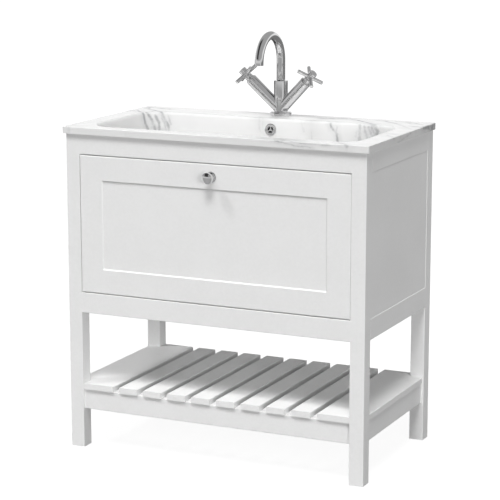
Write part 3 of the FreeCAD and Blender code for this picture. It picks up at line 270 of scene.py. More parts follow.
def stroke_group():
    """One straight stroke of a vein: a dark core with a faint cloud, laid over what is there."""
    group = bpy.data.node_groups.new("vein_stroke", "ShaderNodeTree")
    for name, kind in (("Marks", "NodeSocketFloat"), ("Place", "NodeSocketVector"),
                       ("Start", "NodeSocketVector"), ("Along", "NodeSocketVector"),
                       ("Per Square", "NodeSocketFloat"), ("Width", "NodeSocketFloat"),
                       ("Strength", "NodeSocketFloat")):
        group.interface.new_socket(name, in_out="INPUT", socket_type=kind)
    group.interface.new_socket("Marks", in_out="OUTPUT", socket_type="NodeSocketFloat")
    group.interface.new_socket("Place", in_out="OUTPUT", socket_type="NodeSocketVector")
    given = group.nodes.new("NodeGroupInput").outputs
    place = scaled_and_added(group, given["Marks"], (VEIN_PUSH,) * 3, given["Place"])
    offset = vector_maths(group, "SUBTRACT", place, given["Start"])
    share = maths(group, "MULTIPLY", vector_maths(group, "DOT_PRODUCT", offset, given["Along"]),
                  given["Per Square"], clamp=True)
    foot = add_node(group, "ShaderNodeVectorMath", {0: given["Along"], "Scale": share},
                    operation="SCALE").outputs["Vector"]
    away = maths(group, "DIVIDE", vector_maths(group, "DISTANCE", offset, foot), given["Width"])
    core = spread(group, away, VEIN_CORE_FADE, (1.0, 0.0))
    cloud = spread(group, away, (0.0, VEIN_CLOUD_REACH), (VEIN_CLOUD_STRENGTH, 0.0))
    mark = maths(group, "MULTIPLY", maths(group, "MAXIMUM", core, cloud), given["Strength"])
    add_node(group, "NodeGroupOutput", {0: maths(group, "MAXIMUM", mark, given["Marks"]),
                                        1: place})
    return group


def vein_marks(tree, place):
    """All the veins over each other, from 0 where the stone is clear to 1 in a dark core."""
    group = stroke_group()
    marks = None
    for width, strength, *points in VEINS:
        ends = [Vector(point) * MILLIMETRE for point in points]
        for start, end in zip(ends, ends[1:]):
            along = end - start
            stroke = tree.nodes.new("ShaderNodeGroup")
            stroke.node_tree = group
            for name, value in (("Start", start), ("Along", along),
                                ("Per Square", 1 / along.length_squared),
                                ("Width", width * MILLIMETRE), ("Strength", strength)):
                stroke.inputs[name].default_value = value
            if marks:
                tree.links.new(marks, stroke.inputs["Marks"])
            tree.links.new(place, stroke.inputs["Place"])
            marks, place = stroke.outputs["Marks"], stroke.outputs["Place"]
    return marks


def wandering(tree, place, scale, reach):
    """Push a place about by noise, so that what is drawn there wanders."""
    push = vector_maths(tree, "SUBTRACT", noise(tree, place, scale, detail=3.0, colour=True),
                        (0.5, 0.5, 0.5))
    return scaled_and_added(tree, push, reach, place)


def thread_marks(tree, place, warped):
    """Thin pale threads along the level lines of a noise, in some patches only."""
    level = maths(tree, "SUBTRACT", noise(tree, warped, scale=5.0, detail=5.0), 0.5)
    thread = spread(tree, maths(tree, "ABSOLUTE", level), (0.0, THREAD_HALF),
                    (THREAD_STRENGTH, 0.0))
    patch = spread(tree, noise(tree, place, scale=3.5), THREAD_PATCH_RANGE)
    return maths(tree, "MULTIPLY", thread, patch)


def marble_resin():
    """Cast white resin with grey veins, faint clouds and a clear gel coat."""
    finish, tree, shader = new_finish("marble_resin")
    place = object_place(tree)
    warped = wandering(tree, wandering(tree, place, *BROAD_WANDER), *FINE_WANDER)
    breaks = spread(tree, noise(tree, place, scale=70.0, detail=3.0), BREAK_RANGE,
                    (FAINTEST, 1.0))
    veins = maths(tree, "MULTIPLY", vein_marks(tree, warped), breaks)
    marks = maths(tree, "MAXIMUM", veins, thread_marks(tree, place, warped), clamp=True)
    cloud = spread(tree, noise(tree, warped, scale=8.0, detail=4.0), CLOUD_RANGE,
                   (0.0, CLOUD_STRENGTH))
    ground = blend_colours(tree, cloud, MARBLE_WHITE, MARBLE_CLOUD)
    gloss = noise(tree, place, scale=35.0, detail=3.0)
    set_inputs(shader, Coat_Weight=0.2, Specular_IOR_Level=0.35, Coat_Roughness=0.05)
    connect(tree, shader,
            Base_Color=blend_colours(tree, marks, ground, VEIN_GREY),
            Roughness=spread(tree, gloss, NOISE_MIDDLE, (0.14, 0.22)),
            Normal=bumps(tree, noise(tree, place, scale=25.0), strength=0.02, distance=0.001))
    return finish


# Drawer boards

FOIL_SHADE = (0.70, 0.70, 0.69)
FOIL_PALE = (0.80, 0.80, 0.79)
WEAVE_TONE = 0.3


def board_foil():
    """Pale foil on the drawer's boards, with a fine linen emboss."""
    finish, tree, shader = new_finish("drawer_board_foil")
    place = object_place(tree)
    weave = add_node(tree, "ShaderNodeTexWave",
                     {"Vector": place, "Scale": 260.0, "Distortion": 1.5},
                     wave_type="BANDS", bands_direction="DIAGONAL").outputs["Fac"]
    cloud = noise(tree, place, scale=24.0, detail=3.0)
    tone = maths(tree, "ADD", maths(tree, "MULTIPLY", weave, WEAVE_TONE), cloud, clamp=True)
    connect(tree, shader,
            Base_Color=blend_colours(tree, tone, FOIL_SHADE, FOIL_PALE),
            Roughness=spread(tree, cloud, NOISE_MIDDLE, (0.42, 0.55)),
            Normal=bumps(tree, weave, strength=0.15, distance=0.0002))
    return finish


# Metals, rubber and plastic

CHROME_SHADE = (0.70, 0.70, 0.71)
CHROME_BRIGHT = (0.80, 0.80, 0.80)

# Scales that draw noise out into lines along Y, and how much rougher the lines can be
LINES_ALONG_Y = (40.0, 1.0, 40.0)
LINES_ROUGHER = 0.15

# How far the roughness of moulded pieces swings to each side
SPARK_SWING = 0.06


def polished_chrome():
    """Mirror chrome with faint smears."""
    finish, tree, shader = new_finish("polished_chrome")
    place = object_place(tree)
    smear = noise(tree, place, scale=60.0, detail=3.0)
    film = noise(tree, place, scale=420.0)
    set_inputs(shader, Metallic=1.0)
    connect(tree, shader,
            Base_Color=blend_colours(tree, smear, CHROME_SHADE, CHROME_BRIGHT),
            Roughness=spread(tree, smear, (0.3, 0.75), (0.035, 0.10)),
            Normal=bumps(tree, film, strength=0.015, distance=0.0002))
    return finish


def brushed_metal(name, dark, light, rough):
    """Metal with fine lines drawn along Y."""
    finish, tree, shader = new_finish(name)
    place = object_place(tree)
    lines = noise(tree, stretched(tree, place, LINES_ALONG_Y), scale=60.0, detail=5.0)
    cloud = noise(tree, place, scale=45.0, detail=3.0)
    set_inputs(shader, Metallic=1.0)
    connect(tree, shader,
            Base_Color=blend_colours(tree, maths(tree, "MULTIPLY", lines, cloud), dark, light),
            Roughness=spread(tree, lines, NOISE_MIDDLE, (rough, rough + LINES_ROUGHER)),
            Normal=bumps(tree, lines, strength=0.10, distance=0.0001))
    return finish


def moulded(name, dark, light, rough):
    """Moulded rubber or plastic with a fine spark texture."""
    finish, tree, shader = new_finish(name)
    place = object_place(tree)
    spark = noise(tree, place, scale=1500.0, detail=3.0)
    cloud = noise(tree, place, scale=80.0)
    connect(tree, shader,
            Base_Color=blend_colours(tree, cloud, dark, light),
            Roughness=spread(tree, spark, NOISE_MIDDLE, (rough - SPARK_SWING, rough + SPARK_SWING)),
            Normal=bumps(tree, spark, strength=0.3, distance=0.0002))
    return finish


# Finish of each material in the record, and of the nodes that are carried over

CHROME = polished_chrome()
SLOT_FINISHES = {
    "painted_wood": satin_paint(),
    "marble_resin": marble_resin(),
    "drawer_board": board_foil(),
    "chrome_plate": CHROME,
    "zinc_steel": brushed_metal("zinc_plated_steel", dark=(0.42, 0.43, 0.45),
                                light=(0.66, 0.67, 0.69), rough=0.28),
    "valve_brass": brushed_metal("turned_brass", dark=(0.52, 0.38, 0.17),
                                 light=(0.76, 0.60, 0.32), rough=0.22),
    "black_rubber": moulded("black_rubber", dark=(0.012, 0.012, 0.012),
                            light=(0.03, 0.03, 0.03), rough=0.7),
    "grey_plastic": moulded("grey_plastic", dark=(0.24, 0.24, 0.25),
                            light=(0.32, 0.32, 0.33), rough=0.5),
}
SLOT_OF = {entry["node"]: entry["material_slot"] for entry in frame["record"]["subparts"]}

for node, slot_name in SLOT_OF.items():
    for slot in nodes[node].material_slots:
        slot.material = SLOT_FINISHES[slot_name]


# Making and mounting pieces

LATHE_STEPS = 96
LATHE_BEND_STEPS = 6
MERGE_DISTANCE = 1e-6
CREASE = math.radians(32)
BODY_OF = {node: body for body, held in frame["record"]["behaviour"]["bodies"].items()
           for node in held}
JOINTS = {joint["name"]: joint for joint in frame["joints"]}


def turned(corners, closed=False):
    """Spin an outline round Z. A corner is its radius, its height and any bend that eases it."""
    shape = bmesh.new()
    points = [shape.verts.new((radius, 0, height)) for radius, height, *bend in corners]
    for first, second in zip(points, points[1:] + (points[:1] if closed else [])):
        shape.edges.new((first, second))
    for point, (radius, height, *bend) in zip(points, corners):
        if bend:
            bmesh.ops.bevel(shape, geom=[point], offset=bend[0], affect="VERTICES",
                            segments=LATHE_BEND_STEPS, profile=0.5, material=-1)
    bmesh.ops.spin(shape, geom=shape.verts[:] + shape.edges[:], cent=(0, 0, 0), axis=(0, 0, 1),
                   dvec=(0, 0, 0), angle=FULL_TURN, space=Matrix.Identity(4), steps=LATHE_STEPS,
                   use_merge=True)
    bmesh.ops.remove_doubles(shape, verts=shape.verts[:], dist=MERGE_DISTANCE)
    bmesh.ops.recalc_face_normals(shape, faces=shape.faces[:])
    return shape


def moved(shape, matrix):
    bmesh.ops.transform(shape, matrix=matrix, space=Matrix.Identity(4), verts=shape.verts[:])
    return shape


def standing(shape, low, high):
    """Move a turned shape to the middle of a box, with its foot on the floor of the box."""
    centre = (low + high) / 2
    return moved(shape, Matrix.Translation((centre.x, centre.y, low.z)))


def add_shape(shape, other):
    """Put another shape beside the first in one mesh."""
    mesh = bpy.data.meshes.new("part")
    other.to_mesh(mesh)
    other.free()
    shape.from_mesh(mesh)
    bpy.data.meshes.remove(mesh)


def new_piece(name, shape):
    """An object with a shape for its mesh."""
    mesh = bpy.data.meshes.new(name)
    shape.to_mesh(mesh)
    shape.free()
    piece = bpy.data.objects.new(name, mesh)
    bpy.context.scene.collection.objects.link(piece)
    return piece


def combined(piece, shapes, operation):
    """Join closed shapes to a piece, or cut them out of it."""
    for shape in shapes:
        other = new_piece("tool", shape)
        change = piece.modifiers.new("change", "BOOLEAN")
        change.operation = operation
        change.solver = "EXACT"
        change.object = other
        bpy.context.view_layer.update()
        seen = piece.evaluated_get(bpy.context.evaluated_depsgraph_get())
        mesh = bpy.data.meshes.new_from_object(seen)
        piece.modifiers.clear()
        piece.data = mesh
        bpy.data.objects.remove(other)


def mounted(piece, replaced):
    """Chrome a piece, smooth it between its creases, and let it stand for a node of the frame."""
    piece.data.materials.clear()
    piece.data.materials.append(CHROME)
    piece.data.shade_smooth()
    piece.data.set_sharp_from_angle(angle=CREASE)
    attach(piece, BODY_OF[replaced])
    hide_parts(replaced)


# Knob, whose front is a cap of a large ball

KNOB_DOME_RADIUS = 0.026
KNOB_DOME_STEPS = 12
KNOB_DOME_SHARE = 0.96
KNOB_RIM_DROP = 0.0050
KNOB_RIM_BEND = 0.0012
KNOB_HEAD_HEIGHT = 0.012
KNOB_HEAD_BEND = 0.0024
KNOB_WAIST_RADIUS = 0.0065
KNOB_WAIST_BEND = 0.0015
KNOB_FLARE = 0.006
KNOB_FOOT_RADIUS = 0.0135
KNOB_FOOT_HEIGHT = 0.002
KNOB_FOOT_BEND = 0.0007
KNOB_BORE_RADIUS = 0.0022
KNOB_BORE_DEPTH = 0.012


def knob_dome(head, reach):
    """Points on the cap, from its middle nearly out to the head's rim."""
    rim = math.asin(head / KNOB_DOME_RADIUS) * KNOB_DOME_SHARE
    angles = [rim * step / KNOB_DOME_STEPS for step in range(KNOB_DOME_STEPS + 1)]
    return [(KNOB_DOME_RADIUS * math.sin(angle), reach - KNOB_DOME_RADIUS * (1 - math.cos(angle)))
            for angle in angles]


def make_knob():
    """A domed round head on a waist that flares out to the foot."""
    low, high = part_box("knob")
    reach = high.y - low.y
    head = (high.x - low.x) / 2
    back = reach - KNOB_HEAD_HEIGHT
    shape = turned((
        *knob_dome(head, reach),
        (head, reach - KNOB_RIM_DROP, KNOB_RIM_BEND),
        (head, back, KNOB_HEAD_BEND),
        (KNOB_WAIST_RADIUS, back, KNOB_WAIST_BEND),
        (KNOB_WAIST_RADIUS, KNOB_FOOT_HEIGHT, KNOB_FLARE),
        (KNOB_FOOT_RADIUS, KNOB_FOOT_HEIGHT, KNOB_FOOT_BEND),
        (KNOB_FOOT_RADIUS, 0.0),
        (KNOB_BORE_RADIUS, 0.0),
        (KNOB_BORE_RADIUS, KNOB_BORE_DEPTH),
        (0.0, KNOB_BORE_DEPTH),
    ))
    middle = Vector((0.0, high.y, (low.z + high.z) / 2))
    place = Matrix.Translation(middle) @ Matrix.Rotation(QUARTER_TURN, 4, "X")
    mounted(new_piece("knob_turned", moved(shape, place)), "knob")


# Waste plug. Its groove is measured inwards from the rim.

PLUG_HEAD_HEIGHT = 0.005
PLUG_HEAD_BEND = 0.0005
PLUG_STEM_RADIUS = 0.005
PLUG_STEM_BEND = 0.0008
PLUG_RIM_DROP = 0.0008
PLUG_RIM_BEND = 0.0022
PLUG_GROOVE_INNER = 0.007
PLUG_GROOVE_INNER_FLOOR = 0.0066
PLUG_GROOVE_OUTER_FLOOR = 0.0056
PLUG_GROOVE_OUTER = 0.0052
PLUG_GROOVE_OUTER_DROP = 0.0002
PLUG_GROOVE_DEPTH = 0.0007
PLUG_GROOVE_INNER_BEND = 0.0008
PLUG_GROOVE_FLOOR_BEND = 0.0003
PLUG_GROOVE_OUTER_BEND = 0.0004


def make_waste_plug():
    """A domed plug with a shallow ring near its rim, on its guide stem."""
    low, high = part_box("waste_plug")
    radius = (high.x - low.x) / 2
    height = high.z - low.z
    groove_floor = height - PLUG_GROOVE_DEPTH
    head_floor = height - PLUG_HEAD_HEIGHT
    shape = turned((
        (0.0, height),
        (radius - PLUG_GROOVE_INNER, height, PLUG_GROOVE_INNER_BEND),
        (radius - PLUG_GROOVE_INNER_FLOOR, groove_floor, PLUG_GROOVE_FLOOR_BEND),
        (radius - PLUG_GROOVE_OUTER_FLOOR, groove_floor, PLUG_GROOVE_FLOOR_BEND),
        (radius - PLUG_GROOVE_OUTER, height - PLUG_GROOVE_OUTER_DROP, PLUG_GROOVE_OUTER_BEND),
        (radius, height - PLUG_RIM_DROP, PLUG_RIM_BEND),
        (radius, head_floor, PLUG_HEAD_BEND),
        (PLUG_STEM_RADIUS, head_floor),
        (PLUG_STEM_RADIUS, 0.0, PLUG_STEM_BEND),
        (0.0, 0.0),
    ))
    mounted(new_piece("waste_plug_turned", standing(shape, low, high)), "waste_plug")


# Tap base, with a fine step round its side

BASE_BORE_RADIUS = 0.0165
BASE_SOCKET_RADIUS = 0.0178
BASE_SOCKET_FLOOR = 0.004
BASE_STEP_START = 0.0012
BASE_STEP_FLOOR_START = 0.0014
BASE_STEP_FLOOR_END = 0.0020
BASE_STEP_END = 0.0022
BASE_STEP_DEPTH = 0.0005
BASE_EDGE_BEND = 0.0004
BASE_TOP_BEND = 0.0030


def make_tap_base():
    """The round foot of the tap, with a fine step under its rim."""
    low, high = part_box("tap_base")
    radius = (high.x - low.x) / 2
    height = high.z - low.z
    shape = turned((
        (BASE_BORE_RADIUS, 0.0),
        (radius, 0.0, BASE_EDGE_BEND),
        (radius, BASE_STEP_START),
        (radius - BASE_STEP_DEPTH, BASE_STEP_FLOOR_START),
        (radius - BASE_STEP_DEPTH, BASE_STEP_FLOOR_END),
        (radius, BASE_STEP_END),
        (radius, height, BASE_TOP_BEND),
        (BASE_SOCKET_RADIUS, height, BASE_EDGE_BEND),
        (BASE_SOCKET_RADIUS, BASE_SOCKET_FLOOR),
        (BASE_BORE_RADIUS, BASE_SOCKET_FLOOR),
    ), closed=True)
    mounted(new_piece("tap_base_turned", standing(shape, low, high)), "tap_base")


# Tap body

SPOUT_GAP = 0.0003
SPOUT_SOCKET_RADIUS = 0.01005
SPOUT_SOCKET_DEPTH = 0.022
SPOUT_SOCKET_BEND = 0.0004
COLUMN_RADIUS = 0.01775
COLUMN_FOOT_BEND = 0.0003
COLUMN_TOP_BEND = 0.0009
ARM_RADIUS = 0.0145
ARM_LENGTH = 0.110
ARM_BEND = 0.0008
VALVE_BORE_RADIUS = 0.01105
VALVE_BORE_DEPTH = 0.042
VALVE_JOINTS = {"left": JOINTS["left_handle_turn"], "right": JOINTS["right_handle_turn"]}

# Each bore up into the tap's foot: its place across and back from the column's axis, its radius
FOOT_BORES = ((-0.0075, 0.005, 0.005), (0.0075, 0.005, 0.005), (0.0, -0.008, 0.0041))
FOOT_BORE_START = -0.002
FOOT_BORE_END = 0.014


def arm_place(joint, distance, turn=0.0):
    """Where a shape made along Z goes on a valve arm, and which way it is turned."""
    axis = Vector(joint["axis"])
    aim = (Matrix.Rotation(math.atan2(axis.y, axis.x), 4, "Z")
           @ Matrix.Rotation(math.acos(axis.z), 4, "Y") @ Matrix.Rotation(turn, 4, "Z"))
    return Matrix.Translation(Vector(joint["pos_m"]) + axis * distance) @ aim


def tap_column(height):
    socket_floor = height - SPOUT_SOCKET_DEPTH
    return turned((
        (0.0, 0.0),
        (COLUMN_RADIUS, 0.0, COLUMN_FOOT_BEND),
        (COLUMN_RADIUS, height, COLUMN_TOP_BEND),
        (SPOUT_SOCKET_RADIUS, height, SPOUT_SOCKET_BEND),
        (SPOUT_SOCKET_RADIUS, socket_floor),
        (0.0, socket_floor),
    ))


def valve_arm():
    bore_floor = ARM_LENGTH - VALVE_BORE_DEPTH
    return turned((
        (0.0, 0.0),
        (ARM_RADIUS, 0.0),
        (ARM_RADIUS, ARM_LENGTH, ARM_BEND),
        (VALVE_BORE_RADIUS, ARM_LENGTH),
        (VALVE_BORE_RADIUS, bore_floor),
        (0.0, bore_floor),
    ))


def foot_bore(radius):
    return turned(((0.0, FOOT_BORE_START), (radius, FOOT_BORE_START), (radius, FOOT_BORE_END),
                   (0.0, FOOT_BORE_END)))


def make_tap_body():
    """An upright column with two slanted valve arms, bored for the spout, valves and hoses."""
    low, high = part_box("tap_body")
    seat = JOINTS["spout_swivel"]["pos_m"]
    column = tap_column(seat[2] - SPOUT_GAP - low.z)
    piece = new_piece("tap_column", moved(column, Matrix.Translation((0, seat[1], low.z))))
    arms = [moved(valve_arm(), arm_place(joint, 0.0)) for joint in VALVE_JOINTS.values()]
    combined(piece, arms, "UNION")
    bores = [moved(foot_bore(radius), Matrix.Translation((across, seat[1] + back, low.z)))
             for across, back, radius in FOOT_BORES]
    combined(piece, bores, "DIFFERENCE")
    mounted(piece, "tap_body")


# Spout

SPOUT_PLUG_RADIUS = 0.010
SPOUT_SEGMENTS = 64
SPOUT_ARCH_STEPS = 72
SPOUT_OUTLET_DROP = 0.003
SPOUT_WALL = 0.002
SPOUT_LIP_BEND = 0.0005
SPOUT_LIP_STEPS = 3
SPOUT_LIP_ANGLE = math.radians(60)


def edges_within(ring):
    """The edges that join the corners of a ring."""
    return list({edge for vert in ring for edge in vert.link_edges
                 if all(end in ring for end in edge.verts)})


def only_verts(items):
    return [item for item in items if isinstance(item, bmesh.types.BMVert)]


def drawn_out(shape, ring, shift, grow=1.0):
    """Pull a ring on to its next place, wider or narrower by a share."""
    fresh = only_verts(bmesh.ops.extrude_edge_only(shape, edges=edges_within(ring))["geom"])
    bmesh.ops.translate(shape, verts=fresh, vec=shift)
    middle = sum((vert.co for vert in fresh), Vector()) / len(fresh)
    bmesh.ops.scale(shape, verts=fresh, vec=(grow, grow, 1.0), space=Matrix.Translation(-middle))
    return fresh


def make_spout():
    """A swan neck tube with rounded lips, on a narrower plug that turns in the column."""
    low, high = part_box("spout")
    seat = Vector(JOINTS["spout_swivel"]["pos_m"])
    radius = (high.x - low.x) / 2
    bend = (high.y - low.y) / 2 - radius
    bend_z = high.z - bend - radius
    shape = bmesh.new()
    ring = bmesh.ops.create_circle(shape, segments=SPOUT_SEGMENTS, radius=SPOUT_PLUG_RADIUS,
                                   matrix=Matrix.Translation((0, seat.y, low.z)))["verts"]
    ring = drawn_out(shape, ring, (0, 0, seat.z - low.z))
    ring = drawn_out(shape, ring, (0, 0, 0), radius / SPOUT_PLUG_RADIUS)
    ring = drawn_out(shape, ring, (0, 0, bend_z - seat.z))
    swept = bmesh.ops.spin(shape, geom=ring + edges_within(ring),
                           cent=(0, seat.y - bend, bend_z), axis=(1, 0, 0), dvec=(0, 0, 0),
                           angle=math.pi, steps=SPOUT_ARCH_STEPS, space=Matrix.Identity(4))
    drawn_out(shape, only_verts(swept["geom_last"]), (0, 0, -SPOUT_OUTLET_DROP))
    bmesh.ops.recalc_face_normals(shape, faces=shape.faces[:])
    bmesh.ops.solidify(shape, geom=shape.faces[:], thickness=SPOUT_WALL)
    bmesh.ops.recalc_face_normals(shape, faces=shape.faces[:])
    lips = [edge for edge in shape.edges if edge.calc_face_angle(0.0) > SPOUT_LIP_ANGLE]
    bmesh.ops.bevel(shape, geom=lips, offset=SPOUT_LIP_BEND, affect="EDGES",
                    segments=SPOUT_LIP_STEPS, profile=0.5, material=-1)
    mounted(new_piece("swan_neck", shape), "spout")


# Cross handles. Heights are measured along the arm from where the bars cross.

HANDLE_CROSS = 0.1283
HANDLE_GAP = 0.0004
HANDLE_TURNS = {"left": math.radians(43), "right": math.radians(52)}
SPINDLE_RADIUS = 0.004
SPINDLE_LENGTH = 0.0136
SPINDLE_BEND = 0.0005
NECK_LIP_RADIUS = 0.0127
NECK_LIP_HEIGHT = 0.0010
NECK_LIP_LOW_BEND = 0.0003
NECK_LIP_HIGH_BEND = 0.0004
NECK_RADIUS = 0.0102
NECK_SLOPE_END = 0.0035
NECK_SLOPE_BEND = 0.0015
NECK_TOP_BEND = 0.0012
HUB_RADIUS = 0.0075
HUB_HALF = 0.0065
HUB_BEND = 0.0008
CAP_RADIUS = 0.0103
CAP_TOP = 0.0160
CAP_LOW_BEND = 0.0010
CAP_TOP_BEND = 0.0016
CAP_DISH_RADIUS = 0.0078
CAP_DISH_BEND = 0.0003
CAP_DISH_FLOOR_RADIUS = 0.0074
CAP_DISH_FLOOR = 0.0156
CAP_DISH_FLOOR_BEND = 0.0002
CAP_DISH_MIDDLE = 0.0158
BAR_COUNT = 4
BAR_START = 0.0052
BAR_RADIUS = 0.0048
BAR_END = 0.038
BAR_BEND = 0.0014


def handle_hub():
    neck = ARM_LENGTH + HANDLE_GAP - HANDLE_CROSS
    spindle_end = neck - SPINDLE_LENGTH
    return turned((
        (0.0, spindle_end),
        (SPINDLE_RADIUS, spindle_end, SPINDLE_BEND),
        (SPINDLE_RADIUS, neck),
        (NECK_LIP_RADIUS, neck, NECK_LIP_LOW_BEND),
        (NECK_LIP_RADIUS, neck + NECK_LIP_HEIGHT, NECK_LIP_HIGH_BEND),
        (NECK_RADIUS, neck + NECK_SLOPE_END, NECK_SLOPE_BEND),
        (NECK_RADIUS, -HUB_HALF, NECK_TOP_BEND),
        (HUB_RADIUS, -HUB_HALF, HUB_BEND),
        (HUB_RADIUS, HUB_HALF, HUB_BEND),
        (CAP_RADIUS, HUB_HALF, CAP_LOW_BEND),
        (CAP_RADIUS, CAP_TOP, CAP_TOP_BEND),
        (CAP_DISH_RADIUS, CAP_TOP, CAP_DISH_BEND),
        (CAP_DISH_FLOOR_RADIUS, CAP_DISH_FLOOR, CAP_DISH_FLOOR_BEND),
        (0.0, CAP_DISH_MIDDLE),
    ))


def handle_bars(aim):
    """Four stubs that stand out from the hub, as one shape."""
    bars = bmesh.new()
    for count in range(BAR_COUNT):
        bar = turned(((0.0, BAR_START), (BAR_RADIUS, BAR_START), (BAR_RADIUS, BAR_END, BAR_BEND),
                      (0.0, BAR_END)))
        across = (Matrix.Rotation(count * FULL_TURN / BAR_COUNT, 4, "Z")
                  @ Matrix.Rotation(QUARTER_TURN, 4, "Y"))
        add_shape(bars, moved(bar, aim @ across))
    return bars


def make_handles():
    """Cross handles: a flared neck, a hub and a cap, with two bars right through."""
    for side, joint in VALVE_JOINTS.items():
        aim = arm_place(joint, HANDLE_CROSS, HANDLE_TURNS[side])
        piece = new_piece("cross_handle_" + side, moved(handle_hub(), aim))
        combined(piece, [handle_bars(aim)], "UNION")
        mounted(piece, "handle_" + side)


# Overflow ring. It is made lying on Z and lies back on the bowl's sloping wall.

BOWL_LEAN = math.radians(-6)
RING_RADIUS = 0.0155
RING_LIP = 0.002
RING_RIM_BEND = 0.0014
RING_BACK_BEND = 0.0002
RING_INNER_RADIUS = 0.0080
RING_INNER_BEND = 0.0008
SLEEVE_RADIUS = 0.0110
SLEEVE_LENGTH = 0.0080
SLEEVE_BEND = 0.0004
RING_HUB_RADIUS = 0.0030
RING_HUB_FRONT = -0.0014
RING_HUB_BACK = 0.0006
RING_HUB_BEND = 0.0006
SPOKE_COUNT = 3
SPOKE_MIDDLE = (0.0048, 0, -0.0003)
SPOKE_SIZE = (0.0080, 0.0032, 0.0014, 1)
SPOKE_BEND = 0.0003
SPOKE_BEND_STEPS = 2


def ring_seat():
    """The middle of the overflow ring where it meets the bowl wall."""
    low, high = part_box("overflow_ring")
    front = Vector((0, -1, 0))
    front.rotate(Matrix.Rotation(BOWL_LEAN, 3, "X"))
    reach = RING_LIP * -front.y + RING_RADIUS * abs(front.z)
    top = RING_RADIUS * -front.y + RING_LIP * max(front.z, 0.0)
    return Vector(((low.x + high.x) / 2, low.y + reach, high.z - top))


def ring_rim():
    return turned((
        (RING_INNER_RADIUS, -RING_LIP, RING_INNER_BEND),
        (RING_RADIUS, -RING_LIP, RING_RIM_BEND),
        (RING_RADIUS, 0.0, RING_BACK_BEND),
        (SLEEVE_RADIUS, 0.0),
        (SLEEVE_RADIUS, SLEEVE_LENGTH, SLEEVE_BEND),
        (RING_INNER_RADIUS, SLEEVE_LENGTH),
    ), closed=True)


def ring_hub():
    return turned(((0.0, RING_HUB_FRONT), (RING_HUB_RADIUS, RING_HUB_FRONT, RING_HUB_BEND),
                   (RING_HUB_RADIUS, RING_HUB_BACK), (0.0, RING_HUB_BACK)))


def ring_spoke(turn):
    """A bar from the hub to the rim, at a turn from straight up."""
    spoke = bmesh.new()
    bmesh.ops.create_cube(spoke, size=1.0, matrix=(
        Matrix.Rotation(turn - QUARTER_TURN, 4, "Z")
        @ Matrix.Translation(SPOKE_MIDDLE) @ Matrix.Diagonal(SPOKE_SIZE)))
    bmesh.ops.bevel(spoke, geom=spoke.edges[:], offset=SPOKE_BEND, affect="EDGES",
                    segments=SPOKE_BEND_STEPS, profile=0.5, material=-1)
    return spoke


def make_overflow_ring():
    """A rounded ring with three spokes and a hub, square to the sloping bowl wall."""
    face = Matrix.Rotation(-QUARTER_TURN, 4, "X")
    piece = new_piece("overflow_trim", moved(ring_rim(), face))
    shapes = [ring_hub()] + [ring_spoke(count * FULL_TURN / SPOKE_COUNT)
                             for count in range(SPOKE_COUNT)]
    combined(piece, [moved(shape, face) for shape in shapes], "UNION")
    piece.data.transform(Matrix.Translation(ring_seat()) @ Matrix.Rotation(BOWL_LEAN, 4, "X"))
    mounted(piece, "overflow_ring")


make_knob()
make_waste_plug()
make_tap_base()
make_tap_body()
make_spout()
make_handles()
make_overflow_ring()


# Camera

CAMERA_PLACE = (1.98124, -4.23884, 1.44969)
CAMERA_YAW = math.radians(25.007)
CAMERA_PITCH = math.radians(-11.412)
CAMERA_LENS = 136.41


def set_camera():
    data = bpy.data.cameras.new("camera")
    data.lens = CAMERA_LENS
    camera = bpy.data.objects.new("camera", data)
    bpy.context.scene.collection.objects.link(camera)
    camera.location = CAMERA_PLACE
    camera.rotation_euler = (QUARTER_TURN + CAMERA_PITCH, 0, CAMERA_YAW)
    bpy.context.scene.camera = camera


# Lamps: the direction in which each stands, its strength, and how many degrees wide it looks

LAMPS = {
    "key_lamp": ((0.15, -0.53, 1.0), 2.12, 22.0),
    "side_lamp": ((-0.51, -0.30, 0.81), 1.05, 8.0),
    "low_lamp": ((0.70, -0.71, 0.05), 1.83, 30.0),
    "back_lamp": ((-0.55, 0.83, 0.02), 1.25, 30.0),
}


def add_sun(name, towards, strength, width):
    """A distant soft lamp, which polished metal doesn't mirror."""
    data = bpy.data.lights.new(name, "SUN")
    data.energy = strength
    data.angle = math.radians(width)
    lamp = bpy.data.objects.new(name, data)
    lamp.rotation_euler = Vector(towards).to_track_quat("Z", "Y").to_euler()
    lamp.visible_glossy = False
    bpy.context.scene.collection.objects.link(lamp)


# Room round the unit

WHITE_LIGHT = (1, 1, 1, 1)
AMBIENT = 0.135

# Shades of what polished metal sees below the horizon, by heading as a share of a full turn.
# The ramp's two ends come first.
ROOM_BANDS = ((0.00, 0.90), (1.00, 0.90), (0.06, 0.85), (0.085, 0.40), (0.20, 0.45), (0.34, 0.40),
              (0.385, 0.45), (0.40, 0.95), (0.425, 0.95), (0.445, 0.28), (0.60, 0.24),
              (0.80, 0.20), (0.84, 0.06), (0.96, 0.06), (0.985, 0.90))

# Shades of what it sees above the horizon
ROOM_WALL = (0.42, 0.42, 0.42)
ROOM_DARK = (0.05, 0.05, 0.05)
ROOM_STRIP = (0.75, 0.75, 0.75)
ROOM_WHITE = (0.95, 0.95, 0.95)

# Where the room's parts give way to each other, as parts of a heading one long: the first four
# are heights, the next two run from left to right, and the last runs from front to back
HORIZON = (-0.06, 0.04)
STRIP_TOP = (0.10, 0.18)
DARK_START = (0.18, 0.24)
BACK_WHITE_TOP = (0.24, 0.38)
DARK_RIGHT_END = (0.05, -0.12)
DARK_LEFT_END = (-0.78, -0.62)
FRONT_TO_BACK = (-0.15, 0.25)


